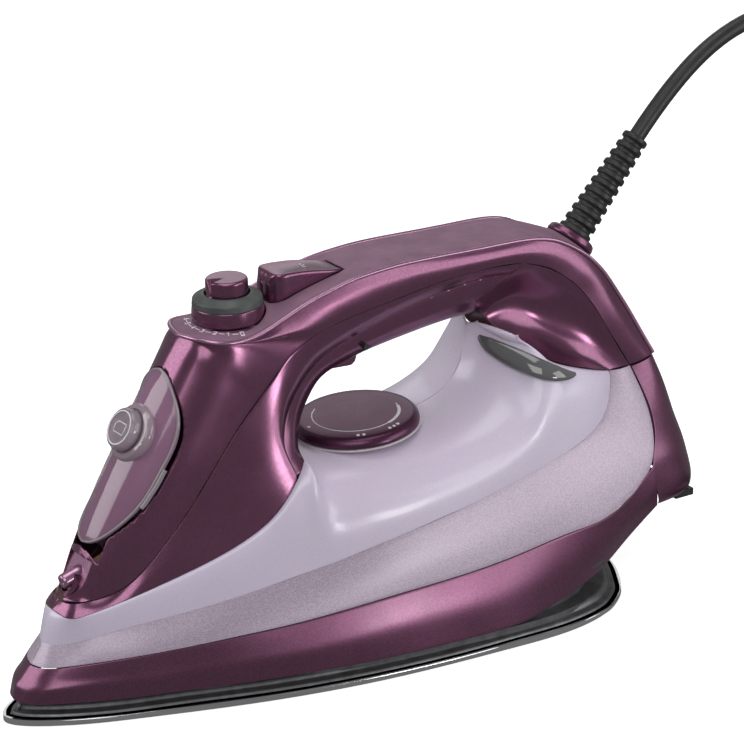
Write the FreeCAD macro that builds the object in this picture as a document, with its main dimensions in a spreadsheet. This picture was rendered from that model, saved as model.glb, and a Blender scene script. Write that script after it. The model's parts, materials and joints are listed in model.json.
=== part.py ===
import FreeCAD, Part
import math
import os
import Sketcher
from FreeCAD import Placement, Rotation, Vector

# Steam iron. X runs from the nose (-X) to the heel (+X), Y is the width, Z is up.
# The origin is on the floor below the middle of the iron, which rests on its soleplate.
# Stations along the iron are measured from the tip of the soleplate and turned into X by at().

DIMENSIONS = {
    "overall_length": 313.0, "sole_length": 285.0, "sole_width": 116.0,
    "sole_thickness": 2.5, "steam_hole_radius": 1.1, "wall": 2.4, "skirt_foot": 8.5,
    "casting_flange": 4.0, "casting_height": 9.0, "element_radius": 3.75,
    "element_half_width": 24.0, "cover_thickness": 1.2, "shield_thickness": 2.0,
    "tank_floor_level": 28.0, "tank_floor": 2.5,
    "knob_radius": 14.2, "knob_height": 5.4, "knob_bore": 8.7, "knob_neck": 8.0,
    "neck_bore": 5.0, "neck_length": 9.0, "knob_floor": 2.6, "knob_tower": 11.2,
    "tower_height": 10.0, "collar_radius": 13.2, "collar_top": 9.0, "cam_radius": 12.5,
    "cam_height": 2.0, "button_radius": 8.3, "button_foot": 6.2, "button_top": 15.8,
    "stem_radius": 2.4, "rod_radius": 1.5,
    "pump_radius": 6.6, "pump_bore": 5.2, "piston_radius": 5.1, "pump_length": 26.0,
    "spray_pump_radius": 5.0, "spray_pump_bore": 3.9, "spray_piston_radius": 3.8,
    "spray_pump_length": 19.0, "wedge_width": 17.0, "nozzle_radius": 3.2,
    "nozzle_length": 11.0, "nozzle_bore": 0.7, "trigger_width": 12.0, "pin_radius": 1.2,
    "dial_radius": 25.7, "dial_height": 3.8, "dial_crown": 0.9, "ring_radius": 26.1,
    "ring_height": 1.2, "spindle_radius": 3.0, "sleeve_radius": 5.5, "sleeve_bore": 4.0,
    "latch_radius": 8.4, "latch_height": 4.2, "latch_stem": 3.0, "boss_radius": 12.0,
    "funnel_radius": 9.0, "funnel_bore": 7.2, "funnel_length": 15.0,
    "guard_radius": 6.2, "guard_rib_radius": 7.3, "guard_length": 52.0, "guard_pitch": 4.6,
    "ball_radius": 8.0, "cord_radius": 3.5, "spring_wire": 0.45,
    "plug_radius": 17.5, "plug_length": 36.0, "plug_pin_radius": 2.4, "plug_pin_length": 19.0,
    "plug_pin_spacing": 19.0, "screw_radius": 1.5, "screw_head": 2.8,
    "fuse_radius": 2.4, "fuse_length": 19.0,
}

doc = FreeCAD.newDocument("SteamIron")
sheet = doc.addObject("Spreadsheet::Sheet", "Dimensions")
for row, (alias, size) in enumerate(DIMENSIONS.items(), start=1):
    sheet.set("A%d" % row, alias)
    sheet.set("B%d" % row, str(size))
    sheet.setAlias("B%d" % row, alias)
doc.recompute()

UP = Vector(0, 0, 1)
ACROSS = Vector(0, 1, 0)
BACK = Vector(1, 0, 0)
parts = {}


def dim(alias):
    """A driving dimension, read from the sheet."""
    return float(sheet.get(alias))


def at(station, side, level):
    """The point at a station from the sole's tip, a side offset and a level."""
    return Vector(station - dim("overall_length") / 2, side, level)


def leaning(degrees):
    """A direction close to up that leans towards the nose by an angle."""
    return Vector(-math.sin(math.radians(degrees)), 0, math.cos(math.radians(degrees)))


def along(base, axis=UP):
    """A placement whose local Z points along an axis."""
    return Placement(base, Rotation(UP, axis))


def keep(item, node):
    item.Label = node
    parts[node] = item
    return item


def bind(item, bindings):
    for name, expression in bindings.items():
        item.setExpression(name, expression)
    return item


def shape_part(name, shape, placement=None):
    item = doc.addObject("Part::Feature", name)
    item.Shape = shape
    item.Placement = placement or Placement()
    return item


def cylinder(name, radius, height, base, axis=UP):
    item = doc.addObject("Part::Cylinder", name)
    bind(item, {"Radius": sized(radius), "Height": sized(height)})
    item.Placement = along(base, axis)
    return item


def block(name, size, low):
    item = doc.addObject("Part::Box", name)
    item.Length, item.Width, item.Height = size
    item.Placement.Base = low
    return item


def cut(name, base, tool):
    item = doc.addObject("Part::Cut", name)
    item.Base, item.Tool = base, tool
    return item


def fuse(name, *pieces):
    item = doc.addObject("Part::MultiFuse", name)
    item.Shapes = list(pieces)
    return item


def sized(expression):
    """An expression whose dimension names point at the sheet."""
    words = expression.split()
    return " ".join("Dimensions." + word if word in DIMENSIONS else word for word in words)


def turned(name, outline, placement):
    """A PartDesign body turned about its own Z from an outline of (radius, height) expressions."""
    outline = [(sized(radius), sized(height)) for radius, height in outline]
    body = doc.addObject("PartDesign::Body", name)
    sketch = body.newObject("Sketcher::SketchObject", name + "_outline")
    plane = [p for p in body.Origin.OriginFeatures if p.Role == "XZ_Plane"][0]
    sketch.AttachmentSupport = [(plane, "")]
    sketch.MapMode = "FlatFace"
    corners = []
    for radius, height in outline:
        x = sheet.evalExpression(radius)
        y = sheet.evalExpression(height)
        corners.append(Vector(float(x), float(y), 0))
    count = len(corners)
    for index, corner in enumerate(corners):
        sketch.addGeometry(Part.LineSegment(corner, corners[(index + 1) % count]), False)
    for index in range(count):
        joint = ("Coincident", index, 2, (index + 1) % count, 1)
        sketch.addConstraint(Sketcher.Constraint(*joint))
    for index, (radius, height) in enumerate(outline):
        corner = corners[index]
        if abs(corner.x) < 1e-6:
            sketch.addConstraint(Sketcher.Constraint("PointOnObject", index, 1, -2))
        else:
            number = sketch.addConstraint(
                Sketcher.Constraint("DistanceX", -1, 1, index, 1, corner.x))
            sketch.setExpression("Constraints[%d]" % number, radius)
        if abs(corner.y) < 1e-6:
            sketch.addConstraint(Sketcher.Constraint("PointOnObject", index, 1, -1))
        else:
            number = sketch.addConstraint(
                Sketcher.Constraint("DistanceY", -1, 1, index, 1, corner.y))
            sketch.setExpression("Constraints[%d]" % number, height)
    turn = body.newObject("PartDesign::Revolution", name + "_turn")
    turn.Profile = sketch
    turn.ReferenceAxis = (sketch, ["V_Axis"])
    turn.Angle = 360.0
    body.Placement = placement
    return body


# The outer surface: plan outlines stacked from the foot of the skirt to the handle's top.
# Each row is a level, the nose and tail stations and the half-widths at the shares below.
SHARES = (0.05, 0.15, 0.3, 0.5, 0.7, 0.85, 0.95, 1.0)
PLANS = (
    (5.0, 3.0, 285.0, (13.5, 25.5, 38.5, 51.5, 56.5, 54.5, 37.0, 12.0)),
    (26.0, 15.5, 304.0, (16.0, 29.0, 40.0, 49.5, 52.0, 49.5, 44.0, 39.0)),
    (40.0, 23.5, 315.0, (14.5, 25.6, 35.5, 46.0, 49.8, 47.5, 42.0, 38.0)),
    (54.0, 30.0, 315.0, (14.0, 24.0, 32.5, 42.5, 46.5, 44.5, 40.5, 37.5)),
    (67.0, 36.5, 311.0, (13.5, 23.0, 30.5, 37.5, 41.5, 39.5, 37.0, 34.5)),
    (80.0, 43.5, 306.0, (13.0, 21.5, 26.0, 29.0, 34.0, 33.5, 31.5, 29.5)),
    (94.0, 51.5, 300.0, (13.0, 20.3, 21.0, 21.0, 26.0, 28.0, 26.0, 23.5)),
    (120.0, 67.0, 289.0, (13.0, 19.5, 18.5, 17.5, 18.5, 20.0, 20.0, 17.5)),
    (140.0, 79.5, 280.0, (14.5, 18.5, 17.8, 17.3, 17.3, 17.5, 17.0, 14.5)),
    (160.0, 85.0, 274.0, (14.5, 16.5, 15.5, 15.0, 15.0, 15.0, 14.5, 11.0)),
)
# The outline seen from the side, as corners joined by smooth stretches of (station, level).
PROFILE = (
    ((82, 141), (103, 144.2), (128, 150), (150, 155), (178, 157.4), (240, 157.2), (258, 151),
     (273, 141), (288, 118.5), (297, 97), (308, 69), (312.6, 50)),
    ((312.6, 50), (312.8, 42), (309, 37.6)),
    ((309, 37.6), (284, 37.6)),
    ((284, 37.6), (266, 25.5), (252, 16.5), (229, 13), (206, 8.5)),
    ((206, 8.5), (-20, 8.5)),
    ((-20, 8.5), (-20, 141)),
    ((-20, 141), (82, 141)),
)
GAP_OUTLINE = ((119, 88), (119.5, 98), (126, 110), (138, 117.5), (159, 121.5), (199, 125.8),
               (216, 125.5), (225, 117), (222, 104), (209, 94), (190, 88.5), (162, 84.8),
               (138, 82.4), (124, 83.2))
# Seams seen from the side.
SKIRT_SEAM = ((-20, 20), (12, 21.3), (41, 26), (108.5, 29.3), (185, 34.5), (251, 40.8),
              (275, 50), (290, 66))
FRONT_SEAM = ((-20, 40), (23, 41), (55, 49), (92, 63), (112, 79), (123, 91))
LONG_SEAM = ((-20, 44), (25, 45.5), (42, 48.5), (54, 57), (69.5, 73.5), (83, 92), (96, 108),
             (112, 124), (132, 137), (160, 142), (200, 147.5), (231, 147), (247, 141),
             (260, 129.5), (270, 115), (283, 94))
RIM_SEAM = ((60, 139), (86, 140.2), (98, 140.2), (112, 143), (130, 148.5), (150, 152.8),
            (176, 154.8), (236, 154.4), (255, 148.5), (268, 140), (300, 108))
TANK_REAR_SEAM = ((200, 127), (209, 121), (216, 111.5), (228, 104.5), (252, 100), (272, 94.5),
                  (283, 94))
HEEL_SEAM = ((283, 94), (287.5, 82), (287.5, 70), (284, 60), (282.5, 50), (284.5, 30))


def flat(points, side=0.0):
    return [at(station, side, level) for station, level in points]


def spline(points, closed=False):
    curve = Part.BSplineCurve()
    curve.interpolate(Points=points, PeriodicFlag=closed)
    return curve.toShape()


def plan_wire(level, nose, tail, halves, inset):
    """One plan outline, moved inwards by an inset."""
    nose = nose + 1.7 * inset
    tail = tail - inset
    length = tail - nose
    side = [at(nose + share * length, half - inset, level)
            for share, half in zip(SHARES, halves)]
    mirrored = [Vector(p.x, -p.y, p.z) for p in side]
    outline = spline(side[::-1] + [at(nose, 0, level)] + mirrored)
    back = Part.LineSegment(mirrored[-1], side[-1]).toShape()
    return Part.Wire([outline, back])


def envelope(inset):
    wires = [plan_wire(*row, inset) for row in PLANS]
    return Part.makeLoft(wires, True, False)


def side_slab(edges, half_width=75.0):
    """Edges in the middle plane, closed into a face and given a width."""
    face = Part.Face(Part.Wire(edges))
    face.translate(Vector(0, -half_width, 0))
    return face.extrude(Vector(0, 2 * half_width, 0))


def stretch(points, side=0.0):
    placed = flat(points, side)
    if len(placed) == 2:
        return Part.LineSegment(placed[0], placed[1]).toShape()
    return spline(placed)


def region(seam, *outside):
    """Everything on one side of a seam, which the outside points close."""
    corners = flat((seam[-1],) + outside + (seam[0],))
    edges = [stretch(seam)]
    edges += [Part.LineSegment(a, b).toShape() for a, b in zip(corners, corners[1:])]
    return side_slab(edges)


def gap_slab(grow=0.0):
    centre_station, centre_level = 172.0, 105.0
    points = []
    for station, level in GAP_OUTLINE:
        away = math.hypot(station - centre_station, level - centre_level)
        share = 1 + grow / away
        points.append((centre_station + (station - centre_station) * share,
                       centre_level + (level - centre_level) * share))
    return side_slab([spline(flat(points), closed=True)])


def profile_slab(inset):
    face = Part.Face(Part.Wire([stretch(points) for points in PROFILE]))
    if inset:
        face = face.makeOffset2D(-inset).toNurbs().Faces[0]
    face.translate(Vector(0, -75, 0))
    return face.extrude(Vector(0, 150, 0))


def plate(low, high, inset, first=-10.0, last=330.0):
    """A slice of the inner space between two levels and two stations."""
    slab = Part.makeBox(last - first, 160, high - low, at(first, -80, low))
    return envelope(inset).common(slab)


def tube(points, radius):
    """A round tube along straight runs, joined by the largest tangent arcs that fit."""
    path, radii = rounded_path(points)
    ring = Part.Wire([Part.makeCircle(radius, points[0], points[1] - points[0])])
    return path.makePipeShell([ring], True, True), path.Length, radii


def rounded_path(points):
    edges = []
    radii = []
    last = points[0]
    for before, corner, after in zip(points, points[1:], points[2:]):
        into = (corner - before).normalize()
        out = (after - corner).normalize()
        turn = into.getAngle(out)
        run = min((corner - before).Length, (after - corner).Length)
        radius = 0.45 * run / math.tan(turn / 2)
        reach = 0.45 * run
        start = corner - into * reach
        end = corner + out * reach
        inward = (out - into).normalize()
        middle = corner + inward * (radius / math.cos(turn / 2) - radius)
        edges.append(Part.LineSegment(last, start).toShape())
        edges.append(Part.Arc(start, middle, end).toShape())
        radii.append(radius)
        last = end
    edges.append(Part.LineSegment(last, points[-1]).toShape())
    return Part.Wire(edges), radii


def coil_spring(name, base, axis, radius, height, turns):
    wire = Part.makeHelix(height / turns, height, radius)
    ring = Part.Wire([Part.makeCircle(dim("spring_wire"), Vector(radius, 0, 0), ACROSS)])
    return shape_part(name, Part.Wire(wire).makePipeShell([ring], True, True),
                      along(base, axis))


# ---- Soleplate, casting and heater ----
SOLE_SHARES = ((0.05, 0.24), (0.15, 0.45), (0.3, 0.69), (0.5, 0.905), (0.7, 0.992),
               (0.82, 0.99), (0.92, 0.80), (0.975, 0.46))


def sole_face(inset, level):
    half = dim("sole_width") / 2
    first = 1.7 * inset
    length = dim("sole_length") - inset - first
    side = [at(first + share * length, half * width - inset, level)
            for share, width in SOLE_SHARES]
    mirrored = [Vector(p.x, -p.y, p.z) for p in side]
    nose = at(first, 0, level)
    tail = at(first + length, 0, level)
    return Part.Face(Part.Wire([spline([tail] + side[::-1] + [nose] + mirrored, closed=True)]))


def extruded(name, face, height):
    profile = shape_part(name + "_face", face)
    item = doc.addObject("Part::Extrusion", name)
    item.Base = profile
    item.DirMode = "Custom"
    item.Dir = UP
    item.setExpression("LengthFwd", sized(height))
    item.Solid = True
    return item


def steam_holes():
    holes = []
    radius = dim("steam_hole_radius")
    for number in range(9):
        station = 26 + 12 * number
        half = 4.5 + 3.6 * number
        places = [half] if number else [0.0]
        if number > 3:
            places.append(half - 9)
        for side in places:
            for sign in ((1, -1) if side else (1,)):
                holes.append(Part.makeCylinder(radius, 8, at(station, sign * side, -2)))
    return Part.makeCompound(holes)


def stadium(half_width, first, last, level, height):
    """A flat slot-shaped block from one station to another."""
    ends = [Part.makeCylinder(half_width, height, at(x, 0, level)) for x in (first, last)]
    middle = Part.makeBox(last - first, 2 * half_width, height, at(first, -half_width, level))
    return ends[0].multiFuse([ends[1], middle]).removeSplitter()


sole_top = dim("sole_thickness")
shoe = extruded("shoe_blank", sole_face(0, 0), "sole_thickness")
keep(cut("shoe_cut", shoe, shape_part("steam_hole_set", steam_holes())), "soleplate")

flange_top = sole_top + dim("casting_flange")
casting_top = flange_top + dim("casting_height")
flange = extruded("flange_blank", sole_face(5.5, sole_top), "casting_flange")
deck = extruded("deck_blank", sole_face(11.0, flange_top), "casting_height")
CHAMBER_FIRST, CHAMBER_LAST = 112.0, 215.0
chamber = shape_part("chamber_space", stadium(15.5, CHAMBER_FIRST, CHAMBER_LAST,
                                              flange_top + 2.5, dim("casting_height")))
element_level = flange_top + 3.5
leg = dim("element_half_width")
ELEMENT_BACK = 243.0


def heating_element():
    rise = casting_top + 16
    bend = 9.0
    edges = []
    front = at(CHAMBER_FIRST - leg, 0, element_level)
    edges.append(Part.LineSegment(at(ELEMENT_BACK, -leg, rise),
                                  at(ELEMENT_BACK, -leg, element_level + bend)).toShape())
    diagonal = bend * math.sqrt(0.5)
    for side in (-leg, leg):
        corner = at(ELEMENT_BACK - bend + diagonal, side, element_level + bend - diagonal)
        ends = [at(ELEMENT_BACK, side, element_level + bend),
                at(ELEMENT_BACK - bend, side, element_level)]
        straight = [at(ELEMENT_BACK - bend, side, element_level),
                    at(CHAMBER_FIRST, side, element_level)]
        edges.append(Part.Arc(ends[0], corner, ends[1]).toShape())
        edges.append(Part.LineSegment(straight[0], straight[1]).toShape())
    edges.append(Part.Arc(at(CHAMBER_FIRST, -leg, element_level), front,
                          at(CHAMBER_FIRST, leg, element_level)).toShape())
    edges.append(Part.LineSegment(at(ELEMENT_BACK, leg, element_level + bend),
                                  at(ELEMENT_BACK, leg, rise)).toShape())
    path = Part.Wire(Part.__sortEdges__(edges))
    start = path.OrderedVertexes[0].Point
    ring = Part.Wire([Part.makeCircle(dim("element_radius"), start, UP)])
    return path.makePipeShell([ring], True, True)


element = keep(shape_part("element_tube", heating_element()), "heating_element")
well = shape_part("element_well", element.Shape.copy())
bottom = fuse("casting_blank", flange, deck)
POSTS = ((78, 0), (238, 37), (238, -37))
screw_wells = shape_part("screw_wells", Part.makeCompound([
    Part.makeCylinder(dim("screw_radius") + 0.02, 8, at(x, y, casting_top - 5))
    for x, y in POSTS]))
casting = cut("casting_cut", cut("casting_open", bottom, chamber), well)
keep(cut("casting_drilled", casting, screw_wells), "sole_casting")
keep(shape_part("gasket_ring", stadium(18.5, CHAMBER_FIRST, CHAMBER_LAST, casting_top, 0.6)
     .cut(stadium(15.5, CHAMBER_FIRST, CHAMBER_LAST, casting_top, 0.6))), "chamber_gasket")
cover_level = casting_top + 0.6
keep(shape_part("chamber_lid", stadium(18.5, CHAMBER_FIRST, CHAMBER_LAST, cover_level,
                                       dim("cover_thickness"))), "chamber_cover")

# ---- Shells ----
wall = dim("wall")
outer = envelope(0).common(profile_slab(0)).cut(gap_slab())
inner_envelope = envelope(wall)
cavity = inner_envelope.common(profile_slab(wall)).cut(gap_slab(wall))
foot = Part.makeBox(235, 160, 8, at(-10, -80, dim("skirt_foot") - 1))
cavity = cavity.fuse(inner_envelope.common(foot))
shell = outer.cut(cavity)
above = region(LONG_SEAM, (310, 102), (340, 102), (340, 220), (-20, 220))
behind = region(HEEL_SEAM, (350, 0), (350, 120), (310, 102))
under = region(SKIRT_SEAM, (290, -20), (-20, -20))
inside = region(FRONT_SEAM, (200, 127), (200, 220), (-20, 220)).fuse(
    region(TANK_REAR_SEAM, (340, 94), (340, 220), (200, 220)))
top = region(RIM_SEAM, (300, 220), (60, 220))

loop = shell.common(above)
rest = shell.cut(above)
rear = rest.common(behind).fuse(loop.common(behind)).removeSplitter()
loop = loop.cut(behind)
rest = rest.cut(behind)
casting_room = sole_face(9.5, 6.0).extrude(UP * 13.5)
skirt = rest.common(under).cut(casting_room)
rest = rest.cut(under)
handle = rest.common(inside)
tank = rest.cut(inside)
insert = loop.common(top)
cover = loop.cut(top)


def rod(radius, start, end):
    return Part.makeCylinder(radius, (end - start).Length, start, end - start)


def largest(shape):
    return max(shape.Solids, key=lambda solid: solid.Volume)


# ---- Knob deck: steam regulator with the steam button in its middle ----
KNOB_LEAN = 2.0
knob_axis = leaning(KNOB_LEAN)
knob_base = at(103.2, 0, 144.8)
knob_place = along(knob_base, knob_axis)
keep(turned("regulator_body", [
    ("neck_bore", "- neck_length"), ("cam_radius", "- neck_length"),
    ("cam_radius", "cam_height - neck_length"), ("knob_neck", "cam_height - neck_length"),
    ("knob_neck", "0"), ("knob_radius", "0"), ("knob_radius", "knob_height"), ("knob_tower", "knob_height"),
    ("knob_tower", "tower_height"), ("knob_bore", "tower_height"), ("knob_bore", "knob_floor"),
    ("neck_bore", "knob_floor")], knob_place), "steam_regulator")
keep(turned("collar_body", [
    ("knob_tower", "knob_height"), ("collar_radius + 0.4", "knob_height"),
    ("collar_radius", "collar_top"), ("knob_tower", "collar_top")], knob_place),
    "regulator_collar")
keep(turned("button_body", [
    ("0", "-26"), ("piston_radius", "-26"), ("piston_radius", "-22"), ("stem_radius", "-22"),
    ("stem_radius", "button_foot"), ("button_radius", "button_foot"),
    ("button_radius", "button_top - 0.8"), ("button_radius - 0.8", "button_top"),
    ("0", "button_top")], knob_place), "steam_button")
keep(turned("pump_body", [
    ("0", "-20 - pump_length"), ("pump_radius", "-20 - pump_length"), ("pump_radius", "-20"),
    ("pump_bore", "-20"), ("pump_bore", "-18 - pump_length"), ("0", "-18 - pump_length")],
    knob_place), "steam_pump")
keep(coil_spring("button_spring_wire", knob_base + knob_axis * -19.5, knob_axis, 3.6, 10.0, 5),
     "button_spring")
rod_foot = at(90.5, 0, dim("tank_floor_level") + dim("tank_floor"))
keep(shape_part("rod_solid", rod(dim("rod_radius"), rod_foot + UP, at(90.5, 0, 132))),
     "valve_rod")
keep(turned("seat_body", [
    ("rod_radius + 0.08", "0"), ("5", "0"), ("4", "6"), ("rod_radius + 0.08", "6")],
    along(rod_foot)), "valve_seat")

# ---- Spray button, its pump and nozzle ----
WEDGE = ((118.6, 147.2), (121.4, 159.8), (134, 159.4), (152, 156.3), (150.8, 150), (119.2, 143.2))


def side_block(name, outline, width):
    """A block with an outline seen from the side and a width centred on the middle plane."""
    half = dim(width) / 2
    corners = flat(outline, -half)
    profile = shape_part(name + "_face", Part.Face(Part.makePolygon(corners + corners[:1])))
    item = doc.addObject("Part::Extrusion", name)
    item.Base = profile
    item.DirMode = "Custom"
    item.Dir = ACROSS
    item.setExpression("LengthFwd", sized(width))
    item.Solid = True
    return item


SPRAY_STATION = 126.0
SPRAY_FOOT = 119.0
keep(side_block("wedge_block", WEDGE, "wedge_width"), "spray_button")
spray_top = SPRAY_FOOT + dim("spray_pump_length")
keep(turned("spray_piston_body", [
    ("0", "8"), ("spray_piston_radius", "8"), ("spray_piston_radius", "11"), ("1.6", "11"),
    ("1.6", "25.3"), ("0", "25.3")], along(at(SPRAY_STATION, 0, SPRAY_FOOT))), "spray_piston")
keep(turned("spray_pump_body", [
    ("0", "0"), ("spray_pump_radius", "0"), ("spray_pump_radius", "spray_pump_length - 2"),
    ("spray_pump_bore", "spray_pump_length - 2"), ("spray_pump_bore", "2"), ("0", "2")],
    along(at(SPRAY_STATION, 0, SPRAY_FOOT))), "spray_pump")
keep(coil_spring("spray_spring_wire", at(SPRAY_STATION, 0, spray_top - 1.5), UP, 3.2, 6.5, 3),
     "spray_spring")
nozzle_back = at(38.0, 0, 49.5)
nozzle_axis = Vector(-0.985, 0, 0.17).normalize()
nozzle = cylinder("nozzle_solid", "nozzle_radius", "nozzle_length", nozzle_back, nozzle_axis)
nozzle_hole = cylinder("nozzle_hole", "nozzle_bore", "nozzle_length", nozzle_back, nozzle_axis)
keep(cut("nozzle_cut", nozzle, nozzle_hole), "spray_nozzle")
SPRAY_ROUTE = ((122.4, 3.0, 121.5), (113, 10.0, 113), (97, 11.0, 90), (74, 7.0, 63),
               (53, 1.5, 51.5), (38.2, 0, 49.4))
hose, hose_length, _ = tube([at(*point) for point in SPRAY_ROUTE], 1.5)
keep(shape_part("spray_hose", hose), "spray_tube")

# ---- Filler door on the ridge, its hinge and its turning latch ----
ridge_foot = at(36.5, 0, 67)
ridge = Vector(0.51, 0, 0.86).normalize()
ridge_out = Vector(-0.86, 0, 0.51).normalize()
DOOR_OUTLINE = ((-1.5, 0), (4, 8), (14, 13.5), (32, 17), (50, 17.5), (63, 14.5), (71, 8),
                (73.5, 0))


def on_ridge(share, side=0.0, out=0.0):
    return ridge_foot + ridge * share + ACROSS * side + ridge_out * out


def door_prism(grow):
    middle = 36.0
    right = []
    for share, side in DOOR_OUTLINE:
        away = math.hypot(share - middle, side)
        scale = 1 + grow / away
        right.append((middle + (share - middle) * scale, side * scale))
    loop_points = right + [(share, -side) for share, side in reversed(right[1:-1])]
    edge = spline([on_ridge(share, side, -19) for share, side in loop_points], closed=True)
    return Part.Face(Part.Wire([edge])).extrude(ridge_out * 31)


hinge = on_ridge(3, 0, -7.5)
latch_place = on_ridge(45.5)
door = largest(cover.common(door_prism(-0.4)))
boss = rod(dim("boss_radius"), on_ridge(45.5, 0, -6), on_ridge(45.5, 0, 2.2))
knuckle = rod(2.6, hinge - ACROSS * 5.5, hinge + ACROSS * 5.5)
web = Part.makeBox(2.6, 11, 8)
web.Placement = Placement(on_ridge(1.7, -5.5, -8.5), Rotation(ridge, ACROSS, ridge_out, "XYZ"))
pin_space = rod(dim("pin_radius") + 0.05, hinge - ACROSS * 9.8, hinge + ACROSS * 9.8)
stem_space = rod(dim("latch_stem") + 0.08, on_ridge(45.5, 0, -12), on_ridge(45.5, 0, 4))
door = door.multiFuse([boss, knuckle, web]).cut(pin_space).cut(stem_space)
keep(shape_part("door_solid", largest(door)), "filler_door")
keep(shape_part("hinge_pin_solid", rod(dim("pin_radius"), hinge - ACROSS * 11.2,
                                       hinge + ACROSS * 11.2)), "door_hinge_pin")
latch = turned("latch_body", [
    ("0", "-12"), ("latch_stem", "-12"), ("latch_stem", "2.6"), ("latch_radius", "2.6"),
    ("latch_radius", "2.6 + latch_height - 0.8"), ("latch_radius - 0.8", "2.6 + latch_height"),
    ("0", "2.6 + latch_height")], along(latch_place, ridge_out))
blade = block("latch_blade", (13, 4, 2), FreeCAD.Vector())
blade.Placement = Placement(on_ridge(43.5, -6.5, -11.9), Rotation(ACROSS, ridge, UP, "XYZ"))
keep(fuse("latch_joined", latch, blade), "door_latch_knob")
keep(turned("funnel_body", [
    ("funnel_bore", "0"), ("funnel_radius", "0"), ("funnel_radius", "funnel_length"),
    ("funnel_bore", "funnel_length")], along(on_ridge(24, 0, -26), ridge_out)), "filler_funnel")

# ---- Temperature dial, spindle and thermostat ----
DIAL_LEAN = 5.3
dial_axis = leaning(DIAL_LEAN)
dial_base = at(162.3, 0, 87.2)
dial_place = along(dial_base, dial_axis)
keep(turned("dial_body", [
    ("0", "0"), ("dial_radius", "0"), ("dial_radius", "dial_height - 1.2"),
    ("dial_radius - 1.2", "dial_height - 0.2"), ("0", "dial_height + dial_crown")],
    dial_place), "temperature_dial")
keep(turned("ring_body", [
    ("9", "- ring_height"), ("ring_radius", "- ring_height"), ("ring_radius", "0"), ("9", "0")],
    dial_place), "dial_ring")
SPINDLE_LENGTH = 61.0
keep(shape_part("spindle_solid", rod(dim("spindle_radius"), dial_base,
                                     dial_base - dial_axis * SPINDLE_LENGTH)), "dial_spindle")
thermostat_top = dial_base - dial_axis * SPINDLE_LENGTH
keep(turned("thermostat_body", [
    ("0", "0"), ("9", "0"), ("9", "5"), ("6.5", "5"), ("6.5", "8.4"), ("0", "8.4")],
    along(Vector(thermostat_top.x, 0, cover_level + dim("cover_thickness")))), "thermostat")

# ---- Steam shot trigger under the handle, with its pump ----
TRIGGER = ((136.8, 118.6), (138.8, 110.8), (156.5, 112.8), (161.2, 122), (161.2, 138),
           (157.9, 138), (157.9, 129), (153, 129), (140, 121.5))
trigger_hinge = at(157.0, 0, 125.5)
trigger = side_block("trigger_block", TRIGGER, "trigger_width")
trigger_bore = shape_part("trigger_bore", rod(dim("pin_radius") + 0.05,
                                              trigger_hinge - ACROSS * 8,
                                              trigger_hinge + ACROSS * 8))
keep(cut("trigger_cut", trigger, trigger_bore), "shot_trigger")
keep(shape_part("trigger_pin_solid", rod(dim("pin_radius"), trigger_hinge - ACROSS * 15.5,
                                         trigger_hinge + ACROSS * 15.5)), "trigger_pin")
keep(coil_spring("trigger_spring_wire", at(144.5, 0, 126.4), UP, 3.0, 7.6, 4), "trigger_spring")
SHOT_LEVEL = 134.5
keep(turned("shot_piston_body", [
    ("0", "0"), ("1.8", "0"), ("1.8", "9"), ("4.4", "9"), ("4.4", "12"), ("0", "12")],
    along(at(161.5, 0, SHOT_LEVEL), BACK)), "shot_piston")
keep(turned("shot_pump_body", [
    ("4.5", "0"), ("5.6", "0"), ("5.6", "28"), ("0", "28"), ("0", "26.5"), ("4.5", "26.5")],
    along(at(167.0, 0, SHOT_LEVEL), BACK)), "shot_pump")

# ---- Mains lead: swivel ball, ribbed guard, socket, inner lead and its clamp ----
guard_axis = Vector(0.657, 0, 0.754).normalize()
ball_centre = at(262.0, 0, 137.6)
guard_foot = ball_centre + guard_axis * 7.4


def guard_outline():
    outline = [("0", "0"), ("guard_rib_radius + 0.6", "0"), ("guard_rib_radius + 0.6", "3")]
    ribs = 11
    for rib in range(ribs):
        slim = 0.16 * rib
        foot = 3 + 4.6 * rib
        outline.append(("guard_radius - %.2f" % slim, "%.1f" % foot))
        outline.append(("guard_radius - %.2f" % slim, "%.1f" % (foot + 2.0)))
        outline.append(("guard_rib_radius - %.2f" % slim, "%.1f" % (foot + 2.0)))
        outline.append(("guard_rib_radius - %.2f" % slim, "%.1f" % (foot + 4.6)))
    outline.append(("0", "%.1f" % (3 + 4.6 * ribs)))
    return outline


GUARD_TIP = 53.6
keep(turned("guard_body", guard_outline(), along(guard_foot, guard_axis)), "cord_guard")
ball = Part.makeSphere(dim("ball_radius"), ball_centre)
below_guard = Part.makeCylinder(20, 30, guard_foot, guard_axis)
keep(shape_part("ball_solid", ball.cut(below_guard)), "cord_ball")
cup = rod(dim("ball_radius") + 1.8, ball_centre - guard_axis * 5, ball_centre + guard_axis * 4)
cup = cup.cut(Part.makeSphere(dim("ball_radius") + 0.08, ball_centre))
keep(shape_part("cup_solid", cup), "swivel_socket")
LEAD_ROUTE = ((251.5, 0, 120.5), (257.0, 0, 105.5), (272.0, 4.0, 90.2))
lead_start = ball_centre - guard_axis * (dim("ball_radius") + 0.4)
lead_points = [lead_start] + [at(*point) for point in LEAD_ROUTE]
lead, lead_length, lead_radii = tube(lead_points, dim("cord_radius"))
keep(shape_part("lead_solid", lead), "inner_lead")

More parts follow.
